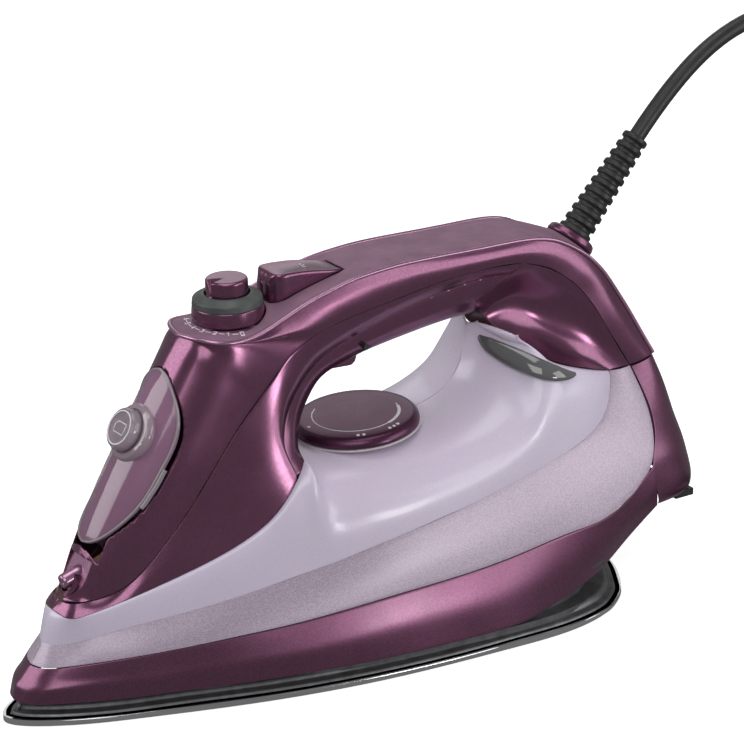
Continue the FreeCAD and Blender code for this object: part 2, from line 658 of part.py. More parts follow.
# ---- Electrics in the heel ----
board = block("board_block", (1.6, 44, 38), at(262, -22, 48))
keep(board, "control_board")
terminals = block("terminal_box", (16, 26, 14), at(266, -13, 76))
keep(terminals, "terminal_block")
clamp_bar = block("clamp_bar", (11, 20, 7), at(247.5, -10, 109))
keep(cut("clamp_cut", clamp_bar, shape_part("lead_space", lead.copy())), "cord_clamp")
keep(cylinder("fuse_body", "fuse_radius", "fuse_length",
              at(237.5, -dim("fuse_length") / 2, casting_top + dim("fuse_radius") + 0.1),
              ACROSS), "thermal_fuse")
keep(shape_part("lamp_solid", rod(2.5, at(246, -17, 98), at(246, -23.0, 98))), "pilot_lamp")

# ---- Shells with the openings for what passes through them ----
slot = Part.makeBox(34.6, 17.8, 40, at(118.1, -8.9, 130))
neck_hole = rod(dim("knob_neck") + 0.3, knob_base - knob_axis * 12, knob_base + knob_axis * 12)
hinge_relief = rod(9.6, hinge - ACROSS * 10.0, hinge + ACROSS * 10.0)
bezel = rod(5.0, nozzle_back - nozzle_axis * 4, nozzle_back + nozzle_axis * 25)
nozzle_space = rod(dim("nozzle_radius") + 0.02, nozzle_back - nozzle_axis * 4,
                   nozzle_back + nozzle_axis * 25)
knob_recess = rod(dim("knob_radius") + 0.4, knob_base - knob_axis * 0.3,
                  knob_base + knob_axis * 12)
guard_hole = rod(8.6, ball_centre - guard_axis * 2, ball_centre + guard_axis * 40)
trigger_slot = Part.makeBox(27.2, 12.8, 20, at(135.6, -6.4, 106))
spindle_hole = rod(dim("spindle_radius") + 0.4, dial_base + dial_axis * 9,
                   dial_base - dial_axis * 30)
lens_line = spline([at(221, -7, 108), at(223, -20, 106.5), at(234, -27.5, 103),
                    at(251, -29.0, 100)])
lens_ring = Part.Wire([Part.makeCircle(3.4, at(221, -7, 108), Vector(0.1, -1, -0.1))])
lens_bar = Part.Wire([lens_line]).makePipeShell([lens_ring], True, True)
SCREW_PLACES = ((290, 16), (290, -16), (302, 0))
screw_holes = Part.makeCompound([
    rod(dim("screw_radius") + 0.05, at(x, y, 33), at(x, y, 46)) for x, y in SCREW_PLACES])

lens = largest(lens_bar.cut(outer))
keep(shape_part("lens_solid", lens), "status_lens")
cover = largest(cover.cut(door_prism(0.0)).cut(hinge_relief))
bezel_ring = largest(cover.fuse(handle).common(bezel).cut(nozzle_space))
keep(shape_part("bezel_solid", bezel_ring), "nozzle_bezel")
cover = cover.cut(bezel)
handle = handle.cut(bezel)
passages = Part.makeCompound([slot, neck_hole, guard_hole])
cover = largest(cover.cut(passages).cut(knob_recess))
insert = largest(insert.cut(passages).cut(knob_recess))
keep(shape_part("cover_solid", cover), "upper_cover")
keep(shape_part("insert_solid", insert), "grip_insert")
keep(shape_part("handle_solid", largest(handle.cut(trigger_slot))), "handle_shell")
keep(shape_part("rear_solid", largest(rear.cut(screw_holes))), "rear_cover")
keep(shape_part("skirt_solid", largest(skirt)), "skirt")
keep(shape_part("tank_solid", largest(tank.cut(spindle_hole))), "water_tank")
FEET = ((299, 24), (299, -38))
keep(shape_part("feet_solids", Part.makeCompound([
    Part.makeBox(9.4, 14, 3.0, at(x, y, 34.6)) for x, y in FEET])), "heel_feet")
keep(shape_part("screw_solids", Part.makeCompound([
    rod(dim("screw_radius"), at(x, y, 37.0), at(x, y, 45)).fuse(
        rod(dim("screw_head"), at(x, y, 36.0), at(x, y, 37.6))) for x, y in SCREW_PLACES])),
    "rear_screws")

# ---- Heat shield on posts, and the tank's inner tub ----
shield_level = casting_top + 5.5
posts = Part.makeCompound([
    rod(4.0, at(x, y, casting_top), at(x, y, shield_level)).cut(
        rod(1.6, at(x, y, casting_top), at(x, y, shield_level))) for x, y in POSTS])
keep(shape_part("post_solids", posts), "shield_posts")
shield_holes = [rod(1.6, at(x, y, shield_level - 9), at(x, y, shield_level + 9))
                for x, y in POSTS]
shield_holes += [rod(6.0, at(ELEMENT_BACK, y, 5), at(ELEMENT_BACK, y, 50)) for y in (-leg, leg)]
shield_holes.append(rod(12.0, Vector(thermostat_top.x, 0, 15), Vector(thermostat_top.x, 0, 40)))
shield = plate(shield_level, shield_level + dim("shield_thickness"), wall + 0.2, last=252)
keep(shape_part("shield_solid", shield.cut(Part.makeCompound(shield_holes))), "heat_shield")
keep(shape_part("post_screw_solids", Part.makeCompound([
    rod(dim("screw_radius"), at(x, y, casting_top - 4), at(x, y, shield_level + 3)).fuse(
        rod(dim("screw_head"), at(x, y, shield_level + 2), at(x, y, shield_level + 3.8)))
    for x, y in POSTS])), "shield_screws")
floor_level = dim("tank_floor_level")
floor_top = floor_level + dim("tank_floor")
tub = plate(floor_level, floor_top, wall, last=236)
back_wall = inner_envelope.common(profile_slab(wall)).common(
    Part.makeBox(2.4, 160, 66, at(233.6, -80, floor_level)))
sleeve = rod(dim("sleeve_radius"), dial_base - dial_axis * 58.5, dial_base - dial_axis * 7.0)
sleeve_space = rod(dim("sleeve_bore"), dial_base - dial_axis * 70, dial_base + dial_axis * 5)
seat_space = rod(dim("rod_radius") + 0.4, at(90.5, 0, 20), at(90.5, 0, 40))
tub = tub.multiFuse([back_wall, sleeve]).cut(sleeve_space).cut(seat_space)
keep(shape_part("tub_solid", largest(tub)), "tank_base")
sleeve_top = dial_base - dial_axis * 7.0
keep(turned("sleeve_seal_body", [
    ("spindle_radius + 0.08", "0"), ("sleeve_radius", "0"), ("sleeve_radius", "1.6"),
    ("spindle_radius + 0.08", "1.6")], along(sleeve_top, dial_axis)), "spindle_seal")

# ---- Mains cord, its coil on the floor and the plug ----
floor_lift = dim("cord_radius") + 0.1
guard_tip = guard_foot + guard_axis * GUARD_TIP
CORD_ROUTE = ((351, -1.5, 225), (388, -3, 230), (421, -5, 214), (444, -7, 184),
              (456, -9, 147), (458, -11, 108), (452, -13, 70), (440, -13.5, 36),
              (423, -14, 10.5), (404, -14.5, floor_lift))
TAIL_ROUTE = ((404, -105.5, floor_lift), (426, -104, 7.0), (443, -98, 17.6), (463, -98, 17.6))
COIL_CENTRE = (385, -60)
COIL_INNER, COIL_OUTER, COIL_HEIGHT = 28.0, 49.0, 14.2
main_points = [guard_tip, guard_tip + guard_axis * 28] + [at(*point) for point in CORD_ROUTE]
main, main_length, main_radii = tube(main_points, dim("cord_radius"))
keep(shape_part("main_solid", main), "mains_cord")
tail, tail_length, tail_radii = tube([at(*point) for point in TAIL_ROUTE], dim("cord_radius"))
keep(shape_part("tail_solid", tail), "cord_tail")
coil_foot = at(COIL_CENTRE[0], COIL_CENTRE[1], 0.1)
coil = Part.makeCylinder(COIL_OUTER, COIL_HEIGHT, coil_foot).cut(
    Part.makeCylinder(COIL_INNER, COIL_HEIGHT, coil_foot))
keep(shape_part("coil_solid", coil), "cord_coil")
plug_foot = at(463, -98, 17.6)
keep(turned("plug_body", [
    ("0", "0"), ("5", "0"), ("8", "14"), ("plug_radius - 2", "20"), ("plug_radius", "24"),
    ("plug_radius", "plug_length"), ("0", "plug_length")], along(plug_foot, BACK)), "plug")
pin_foot = plug_foot + BACK * dim("plug_length")
half_spacing = ACROSS * (dim("plug_pin_spacing") / 2)
keep(shape_part("plug_pin_solids", Part.makeCompound([
    rod(dim("plug_pin_radius"), pin_foot + half_spacing * side,
        pin_foot + half_spacing * side + BACK * dim("plug_pin_length"))
    for side in (-1, 1)])), "plug_pins")

doc.recompute()
for item in doc.Objects:
    if "Invalid" in item.State or "Error" in item.State:
        raise SystemExit("%s did not recompute" % item.Name)
for node, item in parts.items():
    if item.Shape.isNull() or not item.Shape.isValid():
        raise SystemExit("%s has no valid shape" % node)
os.makedirs("parts", exist_ok=True)
for node, item in parts.items():
    item.Shape.exportStep("parts/%s.step" % node)
for name, solid, length, radii in (("mains cord", main, main_length, main_radii),
                                   ("cord tail", tail, tail_length, tail_radii),
                                   ("inner lead", lead, lead_length, lead_radii)):
    section = math.pi * dim("cord_radius") ** 2
    print("%s: length %.1f, volume ratio %.4f, bend radii %s" % (
        name, length, solid.Volume / (section * length), ["%.0f" % r for r in radii]))
print("%d nodes written" % len(parts))
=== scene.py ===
import bpy
import bmesh
import json
import math
import numpy as np
from mathutils import Matrix, Vector
from mathutils.bvhtree import BVHTree


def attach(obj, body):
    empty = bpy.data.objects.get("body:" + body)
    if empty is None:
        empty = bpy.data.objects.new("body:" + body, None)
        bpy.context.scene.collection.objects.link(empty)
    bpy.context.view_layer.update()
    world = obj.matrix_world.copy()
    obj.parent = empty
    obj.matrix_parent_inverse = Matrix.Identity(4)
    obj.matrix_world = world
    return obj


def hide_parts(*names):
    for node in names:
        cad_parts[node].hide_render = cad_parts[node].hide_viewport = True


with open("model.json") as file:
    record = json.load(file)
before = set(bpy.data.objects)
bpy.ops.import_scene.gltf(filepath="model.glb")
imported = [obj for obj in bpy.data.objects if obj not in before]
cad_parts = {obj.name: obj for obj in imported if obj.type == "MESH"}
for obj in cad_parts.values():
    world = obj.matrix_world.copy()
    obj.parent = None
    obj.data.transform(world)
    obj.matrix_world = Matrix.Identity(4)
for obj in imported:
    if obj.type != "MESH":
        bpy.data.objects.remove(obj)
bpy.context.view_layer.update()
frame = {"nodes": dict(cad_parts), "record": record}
MM = 0.001
HALF_LENGTH = 156.5
ALONG, ACROSS, UP = Vector((1, 0, 0)), Vector((0, 1, 0)), Vector((0, 0, 1))


def place(station, side, level):
    """A point from its station behind the sole's tip, side offset and level in mm."""
    return Vector(((station - HALF_LENGTH) * MM, side * MM, level * MM))


def add(name, data):
    """A new object in the scene."""
    item = bpy.data.objects.new(name, data)
    bpy.context.scene.collection.objects.link(item)
    return item


def face_towards(item, direction):
    item.rotation_mode = "QUATERNION"
    item.rotation_quaternion = direction.to_track_quat("-Z", "Y")


# ---- Camera ----
AZIMUTH, ELEVATION, DISTANCE = math.radians(34.0), math.radians(20.8), 1200.0
SENSOR, PICTURE_SIDE, FOCAL_PIXELS = 36.0, 744, 2995.5
back = Vector((-math.sin(AZIMUTH) * math.cos(ELEVATION), -math.cos(AZIMUTH) * math.cos(ELEVATION),
               math.sin(ELEVATION)))
camera = add("Camera", bpy.data.cameras.new("Camera"))
camera.data.sensor_width = SENSOR
camera.data.lens = FOCAL_PIXELS / PICTURE_SIDE * SENSOR
camera.data.clip_end = 20.0
camera.location = place(169.92, 0, 107.42) + back * (DISTANCE * MM)
face_towards(camera, -back)
bpy.context.scene.camera = camera


# ---- Materials ----
class Paint:
    """A principled material with helpers for its procedural detail."""

    def __init__(self, name, **values):
        self.material = bpy.data.materials.new(name)
        self.material.use_nodes = True
        self.tree = self.material.node_tree
        self.shader = self.tree.nodes["Principled BSDF"]
        for key, value in values.items():
            self.shader.inputs[key.replace("_", " ")].default_value = value

    def node(self, kind, **values):
        made = self.tree.nodes.new(kind)
        for key, value in values.items():
            if hasattr(made, key):
                setattr(made, key, value)
            else:
                made.inputs[key.replace("_", " ")].default_value = value
        return made

    def link(self, source, target):
        self.tree.links.new(source, target)

    def coordinates(self, stretch=(1, 1, 1)):
        where = self.node("ShaderNodeTexCoord")
        mapping = self.node("ShaderNodeMapping", Scale=stretch)
        self.link(where.outputs["Object"], mapping.inputs["Vector"])
        return mapping.outputs["Vector"]

    def noise(self, scale, detail=3.0, stretch=(1, 1, 1), rough=0.5):
        texture = self.node("ShaderNodeTexNoise", Scale=scale, Detail=detail, Roughness=rough)
        self.link(self.coordinates(stretch), texture.inputs["Vector"])
        return texture.outputs["Fac"]

    def ramp(self, factor, stops):
        made = self.node("ShaderNodeValToRGB")
        elements = made.color_ramp.elements
        while len(elements) < len(stops):
            elements.new(0.5)
        for element, (position, colour) in zip(elements, stops):
            element.position = position
            element.color = (*colour, 1.0)
        self.link(factor, made.inputs["Fac"])
        return made.outputs["Color"]

    def spread(self, factor, low, high, start=0.3, end=0.7):
        made = self.node("ShaderNodeMapRange", From_Min=start, From_Max=end, To_Min=low,
                         To_Max=high)
        self.link(factor, made.inputs["Value"])
        return made.outputs["Result"]

    def bump(self, height, strength, distance=0.0002):
        made = self.node("ShaderNodeBump", Strength=strength, Distance=distance)
        self.link(height, made.inputs["Height"])
        self.link(made.outputs["Normal"], self.shader.inputs["Normal"])


def two_tone(name, dark, light, scale, rough, grain, bump_scale, bump=0.05, stretch=(1, 1, 1),
             **values):
    """A material whose colour, roughness and surface vary with noise."""
    paint = Paint(name, **values)
    cloud = paint.noise(scale, 4.0, stretch)
    paint.link(paint.ramp(cloud, ((0.3, dark), (0.7, light))), paint.shader.inputs["Base Color"])
    paint.link(paint.spread(paint.noise(grain, 2.0, stretch), *rough),
               paint.shader.inputs["Roughness"])
    paint.bump(paint.noise(bump_scale, 2.0, stretch), bump)
    return paint.material


def pearl(name, dark, light, rough, flake, **values):
    """Moulded plastic with a fine pearl flake that glitters slightly."""
    paint = Paint(name, **values)
    grains = paint.node("ShaderNodeTexVoronoi", Scale=3800.0)
    paint.link(paint.coordinates(), grains.inputs["Vector"])
    tone = paint.ramp(grains.outputs["Color"], ((0.2, dark), (0.85, light)))
    paint.link(tone, paint.shader.inputs["Base Color"])
    paint.link(paint.spread(paint.noise(60, 3.0), *rough), paint.shader.inputs["Roughness"])
    paint.bump(grains.outputs["Distance"], flake, 0.00002)
    return paint.material


METAL = {"Metallic": 1.0}
# name: dark and light tone, their scale, roughness and its scale, surface scale and depth, the rest
TWO_TONES = {
    "plum_grip": ((0.20, 0.108, 0.165), (0.26, 0.145, 0.215), 90, (0.55, 0.65), 300, 2600, 0.25,
                  {"Metallic": 0.1, "Specular_IOR_Level": 0.3}),
    "green_rubber": ((0.045, 0.052, 0.050), (0.075, 0.085, 0.082), 150, (0.42, 0.55), 500, 1800,
                     0.2, {}),
    "black_rubber": ((0.008, 0.008, 0.009), (0.018, 0.018, 0.020), 120, (0.38, 0.52), 400, 1500,
                     0.25, {}),
    "white_plastic": ((0.20, 0.17, 0.20), (0.26, 0.22, 0.26), 60, (0.35, 0.45), 300, 900, 0.05, {}),
    "steel_sole": ((0.52, 0.52, 0.53), (0.66, 0.66, 0.67), 40, (0.10, 0.22), 900, 1600, 0.06,
                   {"stretch": (0.15, 1, 1), **METAL}),
    "cast_aluminium": ((0.12, 0.12, 0.125), (0.19, 0.19, 0.20), 200, (0.38, 0.5), 600, 1400, 0.3,
                       {"Metallic": 0.8}),
    "element_steel": ((0.30, 0.30, 0.30), (0.42, 0.42, 0.42), 80, (0.3, 0.42), 400, 900, 0.1,
                      METAL),
    "silicone": ((0.030, 0.018, 0.026), (0.045, 0.028, 0.040), 90, (0.45, 0.6), 300, 900, 0.1, {}),
    "spring_steel": ((0.45, 0.45, 0.46), (0.6, 0.6, 0.6), 200, (0.2, 0.3), 500, 900, 0.05, METAL),
    "board_green": ((0.01, 0.10, 0.04), (0.02, 0.16, 0.06), 250, (0.35, 0.5), 400, 700, 0.1, {}),
    "shield_black": ((0.010, 0.010, 0.011), (0.020, 0.020, 0.021), 120, (0.5, 0.62), 300, 1100,
                     0.2, {}),
    "plug_black": ((0.010, 0.010, 0.011), (0.020, 0.020, 0.021), 90, (0.33, 0.45), 350, 1300, 0.15,
                   {}),
    "pin_nickel": ((0.62, 0.60, 0.56), (0.74, 0.72, 0.68), 90, (0.16, 0.26), 600, 900, 0.04, METAL),
    "cord_black": ((0.010, 0.010, 0.011), (0.019, 0.019, 0.020), 140, (0.36, 0.5), 500, 1500, 0.2,
                   {}),
    "print_white": ((0.70, 0.66, 0.70), (0.80, 0.77, 0.80), 200, (0.45, 0.55), 500, 900, 0.05, {}),
    "light_trim": ((0.30, 0.17, 0.26), (0.38, 0.23, 0.33), 60, (0.25, 0.35), 300, 900, 0.05,
                   {"Coat_Weight": 0.5}),
}
materials = {name: two_tone(name, *row[:-1], **row[-1]) for name, row in TWO_TONES.items()}


def lilac(name, low, high, speckle, rough, **values):
    """The tank's plastic: a slow change of tone with a fine speckle."""
    paint = Paint(name, **values)
    cloud = paint.ramp(paint.noise(9.0, 1.0), ((0.35, low), (0.65, high)))
    grains = paint.node("ShaderNodeTexNoise", Scale=2600.0, Detail=1.0)
    paint.link(paint.coordinates(), grains.inputs["Vector"])
    flecks = paint.ramp(grains.outputs["Fac"], ((0.42, (1 - speckle,) * 3),
                                                (0.60, (1.0, 1.0, 1.0))))
    mixed = paint.node("ShaderNodeMix", data_type="RGBA", blend_type="MULTIPLY")
    mixed.inputs["Factor"].default_value = 1.0
    paint.link(cloud, mixed.inputs[6])
    paint.link(flecks, mixed.inputs[7])
    paint.link(mixed.outputs[2], paint.shader.inputs["Base Color"])
    paint.link(paint.spread(grains.outputs["Fac"], *rough), paint.shader.inputs["Roughness"])
    paint.bump(grains.outputs["Fac"], 0.04, 0.00005)
    return paint.material


def coat(weight, roughness):
    return {"Coat_Weight": weight, "Coat_Roughness": roughness}


PEARLS = {
    # name: dark and light tone, roughness, depth of the flakes, the rest
    "plum_gloss": ((0.150, 0.052, 0.105), (0.225, 0.088, 0.162), (0.20, 0.26), 0.012,
                   {"Metallic": 0.85, "Specular_IOR_Level": 0.5, **coat(0.35, 0.14)}),
    "plum_skirt": ((0.130, 0.044, 0.090), (0.195, 0.076, 0.140), (0.28, 0.36), 0.012,
                   {"Metallic": 0.85, **coat(0.3, 0.16)}),
    "dial_plum": ((0.075, 0.026, 0.055), (0.115, 0.044, 0.088), (0.24, 0.32), 0.01,
                  {"Metallic": 0.7, "Specular_IOR_Level": 0.3}),
    # pale pearl of the nozzle and its plate; on the deck's rim bead its lighter tone is a painted
    # highlight line
    "pale_pearl_and_rim_highlight": ((0.34, 0.17, 0.27), (0.46, 0.25, 0.38), (0.22, 0.3), 0.012,
                  {"Metallic": 0.85, **coat(0.4, 0.12)}),
}
LILACS = {
    # name: low and high tone, depth of the speckle, roughness, the rest
    "lilac_tank": ((0.70, 0.575, 0.71), (0.80, 0.670, 0.81), 0.03, (0.26, 0.34),
                   {"Subsurface_Weight": 0.15, "Subsurface_Scale": 0.01, **coat(0.35, 0.12)}),
    "lilac_band": ((0.44, 0.355, 0.45), (0.56, 0.460, 0.57), 0.30, (0.36, 0.46),
                   {"Metallic": 0.25, **coat(0.25, 0.25)}),
    "door_clear": ((0.28, 0.135, 0.23), (0.36, 0.185, 0.30), 0.03, (0.10, 0.16),
                   {"Alpha": 0.72, "Subsurface_Weight": 0.1, "Subsurface_Scale": 0.004,
                    **coat(0.8, 0.05)}),
    "door_inner": ((0.20, 0.085, 0.155), (0.27, 0.12, 0.21), 0.03, (0.2, 0.3),
                   {"Coat_Weight": 0.3}),
    "door_edge": ((0.22, 0.19, 0.215), (0.30, 0.265, 0.29), 0.03, (0.16, 0.24),
                  {"Coat_Weight": 0.6}),
    "smoke_trim": ((0.24, 0.17, 0.21), (0.32, 0.24, 0.29), 0.03, (0.08, 0.14),
                   {"Coat_Weight": 0.8}),
    "light_ring": ((0.50, 0.46, 0.50), (0.62, 0.58, 0.62), 0.02, (0.12, 0.2), {"Coat_Weight": 0.8}),
    "clear_trim": ((0.55, 0.48, 0.55), (0.66, 0.60, 0.66), 0.02, (0.06, 0.10),
                   {"Transmission_Weight": 0.7, "IOR": 1.46}),
    "lens_grey": ((0.10, 0.10, 0.105), (0.16, 0.16, 0.165), 0.04, (0.05, 0.09),
                  {"Transmission_Weight": 0.25, "IOR": 1.5, **coat(1.0, 0.03)}),
}
for make, rows in ((pearl, PEARLS), (lilac, LILACS)):
    for name, row in rows.items():
        materials[name] = make(name, *row[:-1], **row[-1])

for row in frame["record"]["subparts"]:
    item = frame["nodes"][row["node"]]
    item.data.materials.clear()
    shade = "shield_black" if row["node"] == "trigger_pin" else row["material_slot"]
    item.data.materials.append(materials[shade])


# ---- Mesh helpers ----
def smooth_curve(points, count):
    """Points on the natural cubic spline through some points, evenly spaced in its parameter."""
    points = np.array(points, float)
    steps = np.maximum(np.linalg.norm(np.diff(points, axis=0), axis=1), 1e-6) ** 0.7
    knots = np.concatenate([[0], np.cumsum(steps)])
    size = len(points)
    matrix, right = np.eye(size), np.zeros_like(points)
    for i in range(1, size - 1):
        before, after = knots[i] - knots[i - 1], knots[i + 1] - knots[i]
        matrix[i, i - 1], matrix[i, i], matrix[i, i + 1] = before, 2 * (before + after), after
        right[i] = 6 * ((points[i + 1] - points[i]) / after - (points[i] - points[i - 1]) / before)
    second = np.linalg.solve(matrix, right)
    where = np.linspace(0, knots[-1], count)
    index = np.clip(np.searchsorted(knots, where, "right") - 1, 0, size - 2)
    width = knots[index + 1] - knots[index]
    low = ((knots[index + 1] - where) / width)[:, None]
    high = 1 - low
    square = (width ** 2)[:, None] / 6
    return (low * points[index] + high * points[index + 1]
            + ((low ** 3 - low) * second[index] + (high ** 3 - high) * second[index + 1]) * square)


def loft(ribs, along, across):
    """A grid [along, across] through ribs, each a row of points from one edge to the other."""
    ribs = np.array(ribs, float)
    rows = np.stack([smooth_curve(ribs[:, k], along) for k in range(ribs.shape[1])], axis=1)
    return np.stack([smooth_curve(row, across) for row in rows])


def rounded_rib(start, end, count, power, bulge=0.0):
    """Points from start, rising first and then running in to end, with a bulge along the iron."""
    start, end = np.array(start, float), np.array(end, float)
    made = []
    for angle in np.linspace(0, math.pi / 2, count):
        out, up = math.cos(angle) ** power, math.sin(angle) ** power
        station = start[0] + (end[0] - start[0]) * angle / (math.pi / 2)
        made.append((station + bulge * math.sin(2 * angle), end[1] + (start[1] - end[1]) * out,
                     start[2] + (end[2] - start[2]) * up))
    return made


def link(name, mesh, material, body="root", nodes=()):
    """A piece of the iron: its mesh in the scene, riding on a body of the CAD frame."""
    item = add(name, mesh)
    if material:
        mesh.materials.append(materials[material])
    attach(item, body)
    if nodes:
        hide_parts(*nodes)
    return item


def smooth_shade(mesh):
    mesh.polygons.foreach_set("use_smooth", [True] * len(mesh.polygons))
    mesh.update()


def baked(name, bm, recalculate=True):
    """The mesh of a bmesh, with its faces turned outwards."""
    if recalculate:
        bmesh.ops.recalc_face_normals(bm, faces=bm.faces)
    mesh = bpy.data.meshes.new(name)
    bm.to_mesh(mesh)
    bm.free()
    return mesh


def bridge(bm, rows):
    """Faces between neighbouring closed rows of vertices; a row may be a single point."""
    count = max(len(row) for row in rows)
    for low, high in zip(rows, rows[1:]):
        for k in range(count):
            n = (k + 1) % count
            corners = dict.fromkeys((low[k % len(low)], low[n % len(low)], high[n % len(high)],
                                     high[k % len(high)]))
            if len(corners) > 2:
                bm.faces.new(list(corners))


def soften_edges(item, width, angle, segments=4):
    bevel = item.modifiers.new("Edges", "BEVEL")
    bevel.width = width * MM
    bevel.segments = segments
    bevel.limit_method = "ANGLE"
    bevel.angle_limit = math.radians(angle)


def tuck(grid, gap, sides):
    """Moves the named edges of a grid inwards so that neighbouring shells keep a small gap."""
    grid = grid.copy()
    for side in sides:
        edge, inner = {"first": ((0,), (1,)), "last": ((-1,), (-2,)),
                       "low": ((slice(None), 0), (slice(None), 1)),
                       "high": ((slice(None), -1), (slice(None), -2))}[side]
        step = grid[inner] - grid[edge]
        length = np.maximum(np.linalg.norm(step, axis=-1, keepdims=True), 1e-9)
        grid[edge] = grid[edge] + step / length * np.minimum(gap, length * 0.6)
    return grid


def half_mesh(name, grids):
    """One mesh of several half grids (stations, sides, levels) and their mirror images."""
    weld, sliver = 0.02, 0.002
    bm = bmesh.new()
    for grid in grids:
        for sign in (-1, 1):
            rows = [[bm.verts.new(place(p[0], sign * max(p[1], 0.0), p[2])) for p in row]
                    for row in grid]
            for i in range(len(rows) - 1):
                for j in range(len(rows[0]) - 1):
                    loop = [rows[i][j], rows[i + 1][j], rows[i + 1][j + 1], rows[i][j + 1]]
                    bm.faces.new(loop if sign < 0 else loop[::-1]).smooth = True
    bmesh.ops.remove_doubles(bm, verts=bm.verts, dist=weld * MM)
    bmesh.ops.dissolve_degenerate(bm, edges=bm.edges, dist=sliver * MM)
    bm.normal_update()
    outward = sum(f.normal.y * f.calc_area() * (1 if f.calc_center_median().y > 0 else -1)
                  for f in bm.faces)
    if outward < 0:
        bmesh.ops.reverse_faces(bm, faces=bm.faces)
    return baked(name, bm, recalculate=False)


def thicken(item, thickness, edge):
    """Gives a surface a wall, inwards from it, and rounds the wall's edges."""
    solid = item.modifiers.new("Wall", "SOLIDIFY")
    solid.thickness = thickness * MM
    solid.offset = -1.0
    solid.use_even_offset = True
    solid.thickness_clamp = 1.2
    soften_edges(item, edge, 52, segments=3)


def apply_modifiers(item):
    """Bakes an item's modifiers into its mesh."""
    bpy.context.view_layer.update()
    evaluated = item.evaluated_get(bpy.context.evaluated_depsgraph_get())
    mesh = bpy.data.meshes.new_from_object(evaluated)
    item.modifiers.clear()
    item.data = mesh
    smooth_shade(mesh)
    return item


def weighted(item):
    """Shades an item's large faces flat and only its small ones rounded."""
    modifier = item.modifiers.new("Normals", "WEIGHTED_NORMAL")
    modifier.keep_sharp = True
    modifier.weight = 60
    return item


def shell(name, grids, thickness, material, nodes=(), edge=0.4):
    """A moulded shell: half grids mirrored, given a wall and rounded edges."""
    item = link(name, half_mesh(name, grids), material, "root", nodes)
    thicken(item, thickness, edge)
    return item


def carve(item, cutter):
    """Cuts a cutter's volume out of an item and removes the cutter."""
    boolean = item.modifiers.new("Opening", "BOOLEAN")
    boolean.operation = "DIFFERENCE"
    boolean.solver = "EXACT"
    boolean.object = cutter
    apply_modifiers(item)
    bpy.data.objects.remove(cutter)
    return item


def frame_of(axis, hint=ACROSS):
    """A rotation whose Z is the axis and whose Y is close to the hint."""
    z = Vector(axis).normalized()
    x = hint.cross(z).normalized()
    return Matrix((x, z.cross(x), z)).transposed().to_4x4()


def lathe(name, outline, base, axis, material, body="root", nodes=(), steps=96,
          hint=ACROSS, soften=0.0):
    """A turned piece from (radius, height) corners in mm about an axis through base."""
    turn = Matrix.Translation(base) @ frame_of(axis, hint)
    bm = bmesh.new()
    rings = []
    for radius, height in outline:
        angles = [2 * math.pi * k / steps for k in range(steps if radius > 0 else 1)]
        rings.append([bm.verts.new(turn @ (Vector((radius * math.cos(a), radius * math.sin(a),
                                                   height))
                                           * MM)) for a in angles])
    hollow = len(rings[0]) > 1 and len(rings[-1]) > 1
    bridge(bm, rings + rings[:hollow])
    for ring in (rings[0], rings[-1]):
        if len(ring) > 1 and not hollow:
            bm.faces.new(ring)
    mesh = baked(name, bm)
    smooth_shade(mesh)
    item = link(name, mesh, material, body, nodes)
    if soften:
        soften_edges(item, soften, 30)
    return weighted(item)


def prism(name, outline, base, axes, depth, material=None, body="root", nodes=(),
          soften=0.0):
    """An extruded piece: outline in mm on two axes from base, deep along the third."""
    first, second, third = (Vector(a).normalized() for a in axes)
    bm = bmesh.new()
    low = [bm.verts.new(base + (first * a + second * b) * MM) for a, b in outline]
    high = [bm.verts.new(v.co + third * depth * MM) for v in low]
    bm.faces.new(low)
    bm.faces.new(high[::-1])
    for k in range(len(low)):
        n = (k + 1) % len(low)
        bm.faces.new([low[n], low[k], high[k], high[n]])
    mesh = baked(name, bm)
    smooth_shade(mesh)
    item = link(name, mesh, material, body, nodes)
    if soften:
        soften_edges(item, soften, 28)
        weighted(item)
    return item


# ---- The mains cord: exit, curve over, coil on the floor, plug ----
LIFT = 3.6
axis_out = Vector((0.657, 0, 0.754)).normalized()
ball = place(262, 0, 137.6)
GUARD_START, GUARD_LENGTH = 7.4, 53.6
guard_foot = ball + axis_out * GUARD_START * MM
guard_tip = ball + axis_out * (GUARD_START + GUARD_LENGTH) * MM
CORD_ROUTE = ((351, -1.5, 225), (388, -3, 230), (421, -5, 214), (444, -7, 184), (456, -9, 147),
              (458, -11, 108), (452, -13, 70), (440, -13.5, 36), (423, -14, 10.5))
COIL_CENTRE = (385, -60)
cord_points = [guard_tip, guard_tip + axis_out * 28 * MM]
cord_points += [place(*point) for point in CORD_ROUTE]
COIL_RADII = (31.5, 38.5, 45.5)
PER_TURN, LAYER_RISE = 16, 7.05
coil_start = math.radians(66)
for layer in range(2):
    radii = COIL_RADII if layer == 0 else COIL_RADII[::-1]
    for turn, radius in enumerate(radii):
        for step in range(PER_TURN):
            share = step / PER_TURN
            following = radii[turn + 1] if turn + 1 < len(radii) else radius
            ring = radius + (following - radius) * max(0.0, share - 0.6) / 0.4
            angle = coil_start - 2 * math.pi * share
            lift = LIFT + LAYER_RISE * layer
            if layer == 0 and turn == 2:
                lift += LAYER_RISE * max(0.0, share - 0.75) / 0.25
            if layer == 1 and turn == 2 and share > 0.5:
                continue
            cord_points.append(place(COIL_CENTRE[0] + ring * math.cos(angle),
                                     COIL_CENTRE[1] + ring * math.sin(angle), lift))
plug_foot = place(463, -98, 17.6)
cord_points += [place(404, -105.5, 10.7), place(426, -104, 11), place(443, -98, 17.6), plug_foot]
cord_curve = bpy.data.curves.new("cord", "CURVE")
cord_curve.dimensions = "3D"
cord_curve.bevel_depth = 3.5 * MM
cord_curve.bevel_resolution = 6
cord_curve.resolution_u = 8
cord_curve.use_fill_caps = True
line = cord_curve.splines.new("NURBS")
line.points.add(len(cord_points) - 1)
